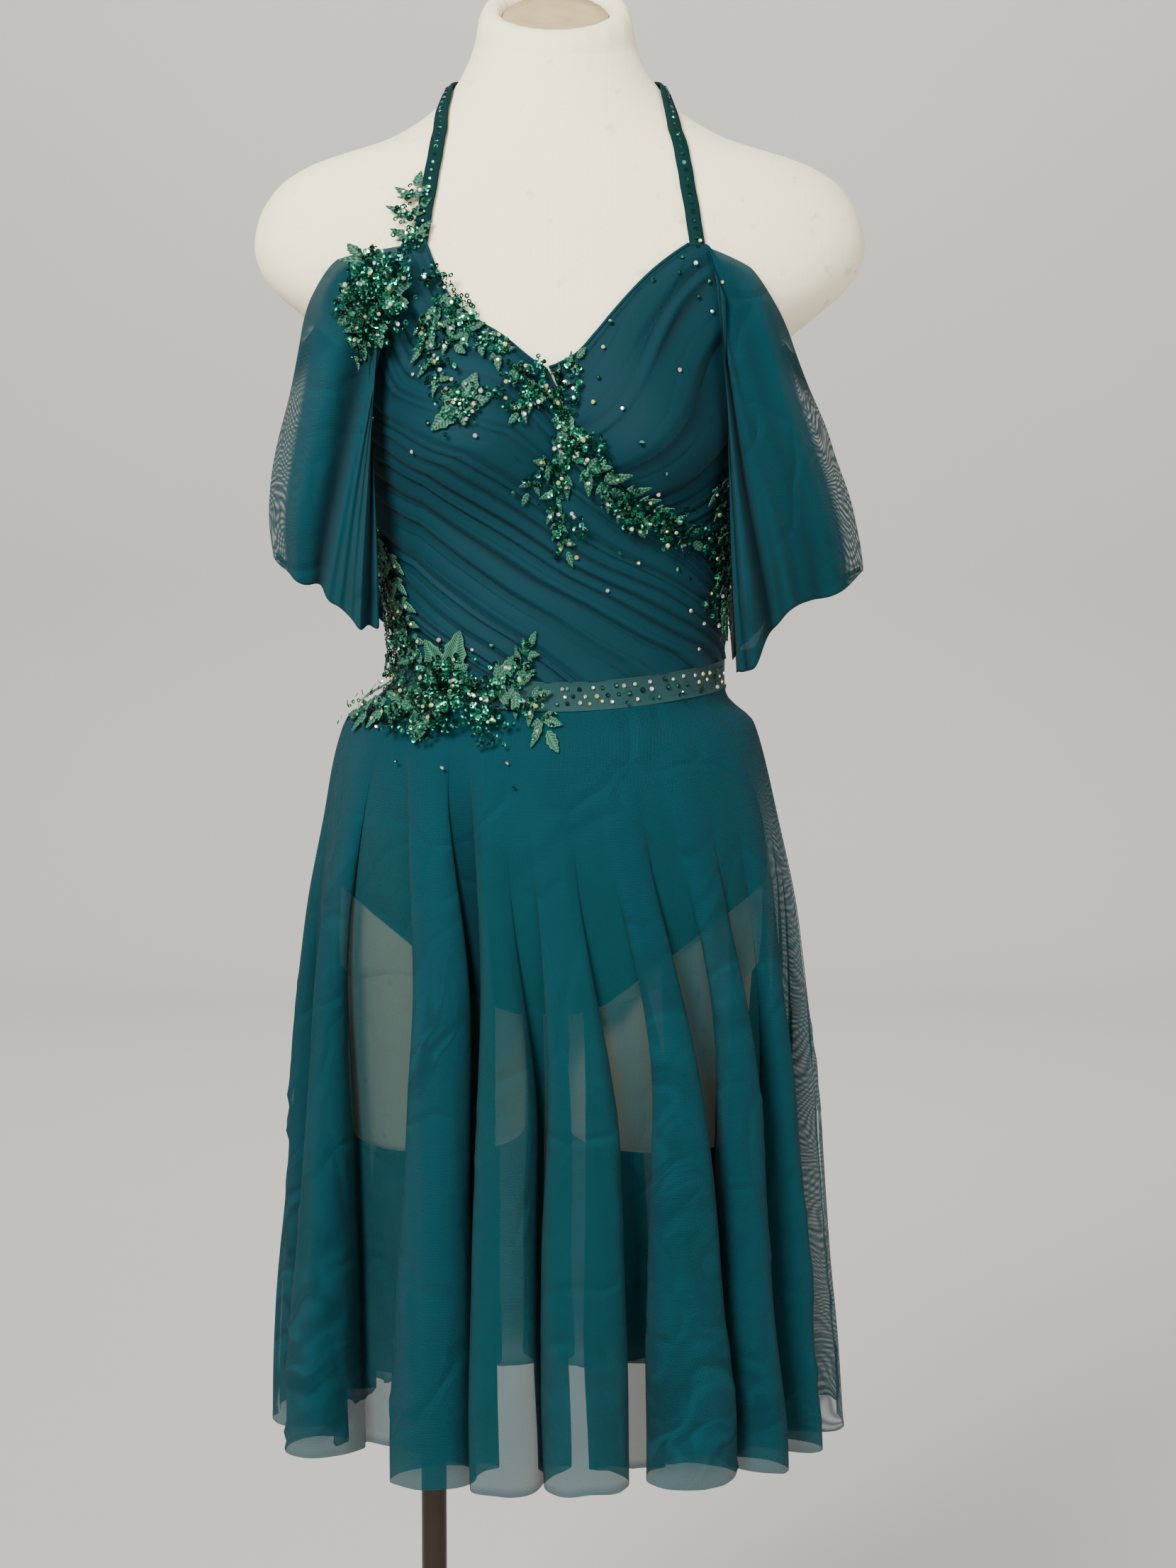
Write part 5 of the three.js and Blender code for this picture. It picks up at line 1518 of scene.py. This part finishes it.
# %% Waistband and straps
BAND_CLOTHS = [
    ("band_cloth", (0.007, 0.034, 0.036, 1), (0.012, 0.045, 0.046, 1), 40.0,
     ["waistband_front_strip", "waistband_back_strip"],
     dict(Roughness=0.7, Sheen_Weight=0.05, Specular_IOR_Level=0.15)),
    ("strap_cloth", (0.0025, 0.017, 0.017, 1), (0.004, 0.024, 0.023, 1), 60.0,
     ["strap_left_band", "strap_right_band"],
     dict(Roughness=0.75, Specular_IOR_Level=0.05)),
]
for name, colour, other, scale, pieces, even in BAND_CLOTHS:
    n, shader, shade = slow_material(name, colour, other, scale, pieces, **even)
    n.bump(shader, n.group(fine_net, Threads_per_metre=700.0)["Height"], 0.35, 0.0003)

# %% [markdown]
# Lace: the raised thread is lighter than the net between it. The number kept on each point mixes the two.

# %% Lace thread
lace_cloth, n, shader = new_material("lace_thread", Roughness=0.6, Sheen_Weight=0.05, Specular_IOR_Level=0.25)
stitch = n.noise(n.where(), 900.0, 2.0)
flat = n.flat()
slant = n.maths("SUBTRACT", n.part(flat, "X"), n.times(n.maths("ABSOLUTE", n.part(flat, "Y")), 0.8))
mask = n.plus(n.times(n.kept("thread"), 0.5), n.times(stitch, 0.35))
mask = n.plus(mask, n.times(n.stripes(slant, 430.0), 0.28))
n.link(n.blend(mask, (0.002, 0.022, 0.015, 1), (0.045, 0.2, 0.105, 1)), shader["Base Color"])
n.bump(shader, mask, 0.5, 0.0005)
paint(lace_cloth, *(name for name in made if name.startswith("lace_")))


# %% Sequins and stones
def glitter(name, colours, scale, roughness, metallic, *pieces):
    """Small hard pieces of several colours: random cells decide which piece gets which."""
    material, n, shader = new_material(name, Roughness=roughness, Metallic=metallic)
    snapped = n.add("VectorMath", {0: n.where(), 1: (1 / scale,) * 3}, operation="SNAP").outputs[0]
    ramp = n.add("ValToRGB", {"Fac": n.add("TexWhiteNoise", {"Vector": snapped}).outputs["Value"]})
    ramp.color_ramp.interpolation = "CONSTANT"
    for k, (start, colour) in enumerate(colours):
        stop = ramp.color_ramp.elements[k] if k < 2 else ramp.color_ramp.elements.new(start)
        stop.position = start
        stop.color = (*colour, 1)
    n.link(ramp.outputs[0], shader["Base Color"])
    paint(material, *pieces)


SEQUIN_COLOURS = [(0.0, (0.002, 0.022, 0.014)), (0.48, (0.006, 0.07, 0.042)), (0.76, (0.02, 0.2, 0.11)),
                  (0.92, (0.08, 0.45, 0.26))]
CLEAR_COLOURS = [(0.0, (0.85, 0.72, 0.28)), (0.45, (0.85, 0.82, 0.8)), (0.75, (0.75, 0.62, 0.72))]
GREEN_COLOURS = [(0.0, (0.002, 0.03, 0.02)), (0.6, (0.008, 0.11, 0.06)), (0.9, (0.12, 0.4, 0.28))]
glitter("sequin", SEQUIN_COLOURS, 240.0, 0.3, 1.0, "sequins")
glitter("clear_stone", CLEAR_COLOURS, 200.0, 0.16, 0.8, "clear_stones")
glitter("green_stone", GREEN_COLOURS, 200.0, 0.16, 0.75, "green_stones", "strap_stones")

# %% [markdown]
# The form's cover is a cream knit: fine ribs, a slightly uneven tone, and no gloss. The stand is dark steel with
# faint brushed marks, and the filling at the neck is old yellowed foam.

# %% Form, foam and steel
n, shader, shade = slow_material(
    "cream_jersey", (0.98, 0.89, 0.62, 1), (0.95, 0.85, 0.56, 1), 6.0,
    ["form_trunk", "form_thigh_left", "form_thigh_right"],
    Roughness=0.9, Sheen_Weight=0.15, Specular_IOR_Level=0.2,
)
where = n.where()
specks = n.ranged(n.noise(where, 75.0, 3.0), 0.66, 0.76, high=0.5)
n.link(n.blend(specks, shade["Colour"], (0.5, 0.47, 0.4, 1)), shader["Base Color"])
ribs = n.add("TexWave", {"Vector": where, "Scale": 260.0, "Distortion": 1.5, "Detail": 2.0}, bands_direction="X")
n.bump(shader, n.plus(ribs.outputs["Fac"], n.noise(where, 420.0, 3.0)), 0.3, 0.0003)

n, shader, shade = slow_material(
    "old_foam", (0.52, 0.42, 0.22, 1), (0.36, 0.27, 0.12, 1), 60.0, ["neck_filling"], Roughness=0.85
)
n.bump(shader, shade["Mask"], 0.6, 0.001)

n, shader, shade = slow_material(
    "dark_steel", (0.03, 0.023, 0.018, 1), (0.045, 0.036, 0.027, 1), 18.0,
    ["round_base", "collar", "rod"], Metallic=0.8,
)
n.link(n.plus(n.times(shade["Mask"], 0.2), 0.28), shader["Roughness"])
n.bump(shader, shade["Mask"], 0.1, 0.0002)

# %% [markdown]
# ## The cloth pieces
# Each sheet of cloth is listed with the size of its flat cut, how it is held and what it rests on. Its area is
# printed beside the area of its flat cut.

CUTS = [
    ("wrap_front", (0.40, 0.30), 0.080, "gathered", ["form_trunk"]),
    ("cup_front", (0.26, 0.20), 0.038, "gathered", ["form_trunk"]),
    ("bodice_back_panel", (0.44, 0.25), 0.088, "stretched", ["form_trunk"]),
    ("waistband_front_strip", (0.345, 0.0205), None, "stretched", ["form_trunk"]),
    ("waistband_back_strip", (0.345, 0.0205), None, "stretched", ["form_trunk"]),
    ("briefs_front_panel", (0.46, 0.25), 0.078, "stretched", ["form_trunk"]),
    ("briefs_back_panel", (0.48, 0.25), 0.088, "stretched", ["form_trunk"]),
    ("skirt_front_panel", (1.30, 0.65), 0.62, "hung", ["waistband_front_strip"]),
    ("skirt_back_panel", (1.30, 0.65), 0.61, "hung", ["waistband_back_strip"]),
    ("sleeve_left_drape", (0.42, 0.23), 0.074, "gathered", ["bodice_back_panel", "wrap_front"]),
    ("sleeve_right_drape", (0.44, 0.24), 0.079, "gathered", ["bodice_back_panel", "cup_front"]),
    ("strap_left_band", (0.0115, 0.29), None, "stretched", ["form_trunk"]),
    ("strap_right_band", (0.0115, 0.29), None, "stretched", ["form_trunk"]),
]
for name, flat, area, held, rests in CUTS:
    print("area", name, round(surface_area(made[name]), 4), "flat cut", area or round(flat[0] * flat[1], 4))

# %% [markdown]
# ## Studio
# A pale floor runs up into a pale wall in one curve, so no edge shows behind the costume. Two large soft lights
# stand in front, one brighter than the other, and a third lights the wall.

# %% Floor, wall and lights
FLOOR_REACH, WALL_FOOT, WALL_TOP = 7, 4.6, 6.0
profile = [(-FLOOR_REACH, 0), (WALL_FOOT, 0)]
profile += [(WALL_FOOT + math.sin(a), 1 - math.cos(a)) for a in np.linspace(0.1, QUARTER, 14)]
profile += [(WALL_FOOT + 1, WALL_TOP)]
wall = 1000 * np.array([[(x, y, z) for x in (-FLOOR_REACH, FLOOR_REACH)] for y, z in profile])
new_object("studio_floor", wall.reshape(-1, 3), grid_faces(len(profile), 2))
slow_material("pale_studio", (0.52, 0.51, 0.475, 1), (0.49, 0.48, 0.45, 1), 1.2, ["studio_floor"], Roughness=0.95)


def soft_light(name, place_at, aim, size, power):
    data = bpy.data.lights.new(name, "AREA")
    data.shape = "RECTANGLE"
    data.size, data.size_y = size
    data.energy = power
    light = bpy.data.objects.new(name, data)
    light.location = place_at
    light.rotation_euler = (Vector(aim) - Vector(place_at)).to_track_quat("-Z", "Y").to_euler()
    bpy.context.scene.collection.objects.link(light)


soft_light("key", (-1.1, -2.2, 2.5), (0, 0, 1.05), (1.0, 1.0), 180)
soft_light("fill", (1.8, -2.2, 1.6), (0, 0, 1.0), (1.8, 1.8), 36)
soft_light("wall_light", (0.0, 2.4, 4.2), (0, 5.0, 0.9), (5.0, 1.2), 225)
world = bpy.data.worlds.new("studio")
bpy.context.scene.world = world
world.use_nodes = True
backdrop = world.node_tree.nodes["Background"].inputs
backdrop["Color"].default_value = (1.0, 0.985, 0.95, 1)
backdrop["Strength"].default_value = 0.62

# %% Finish
bpy.context.view_layer.update()
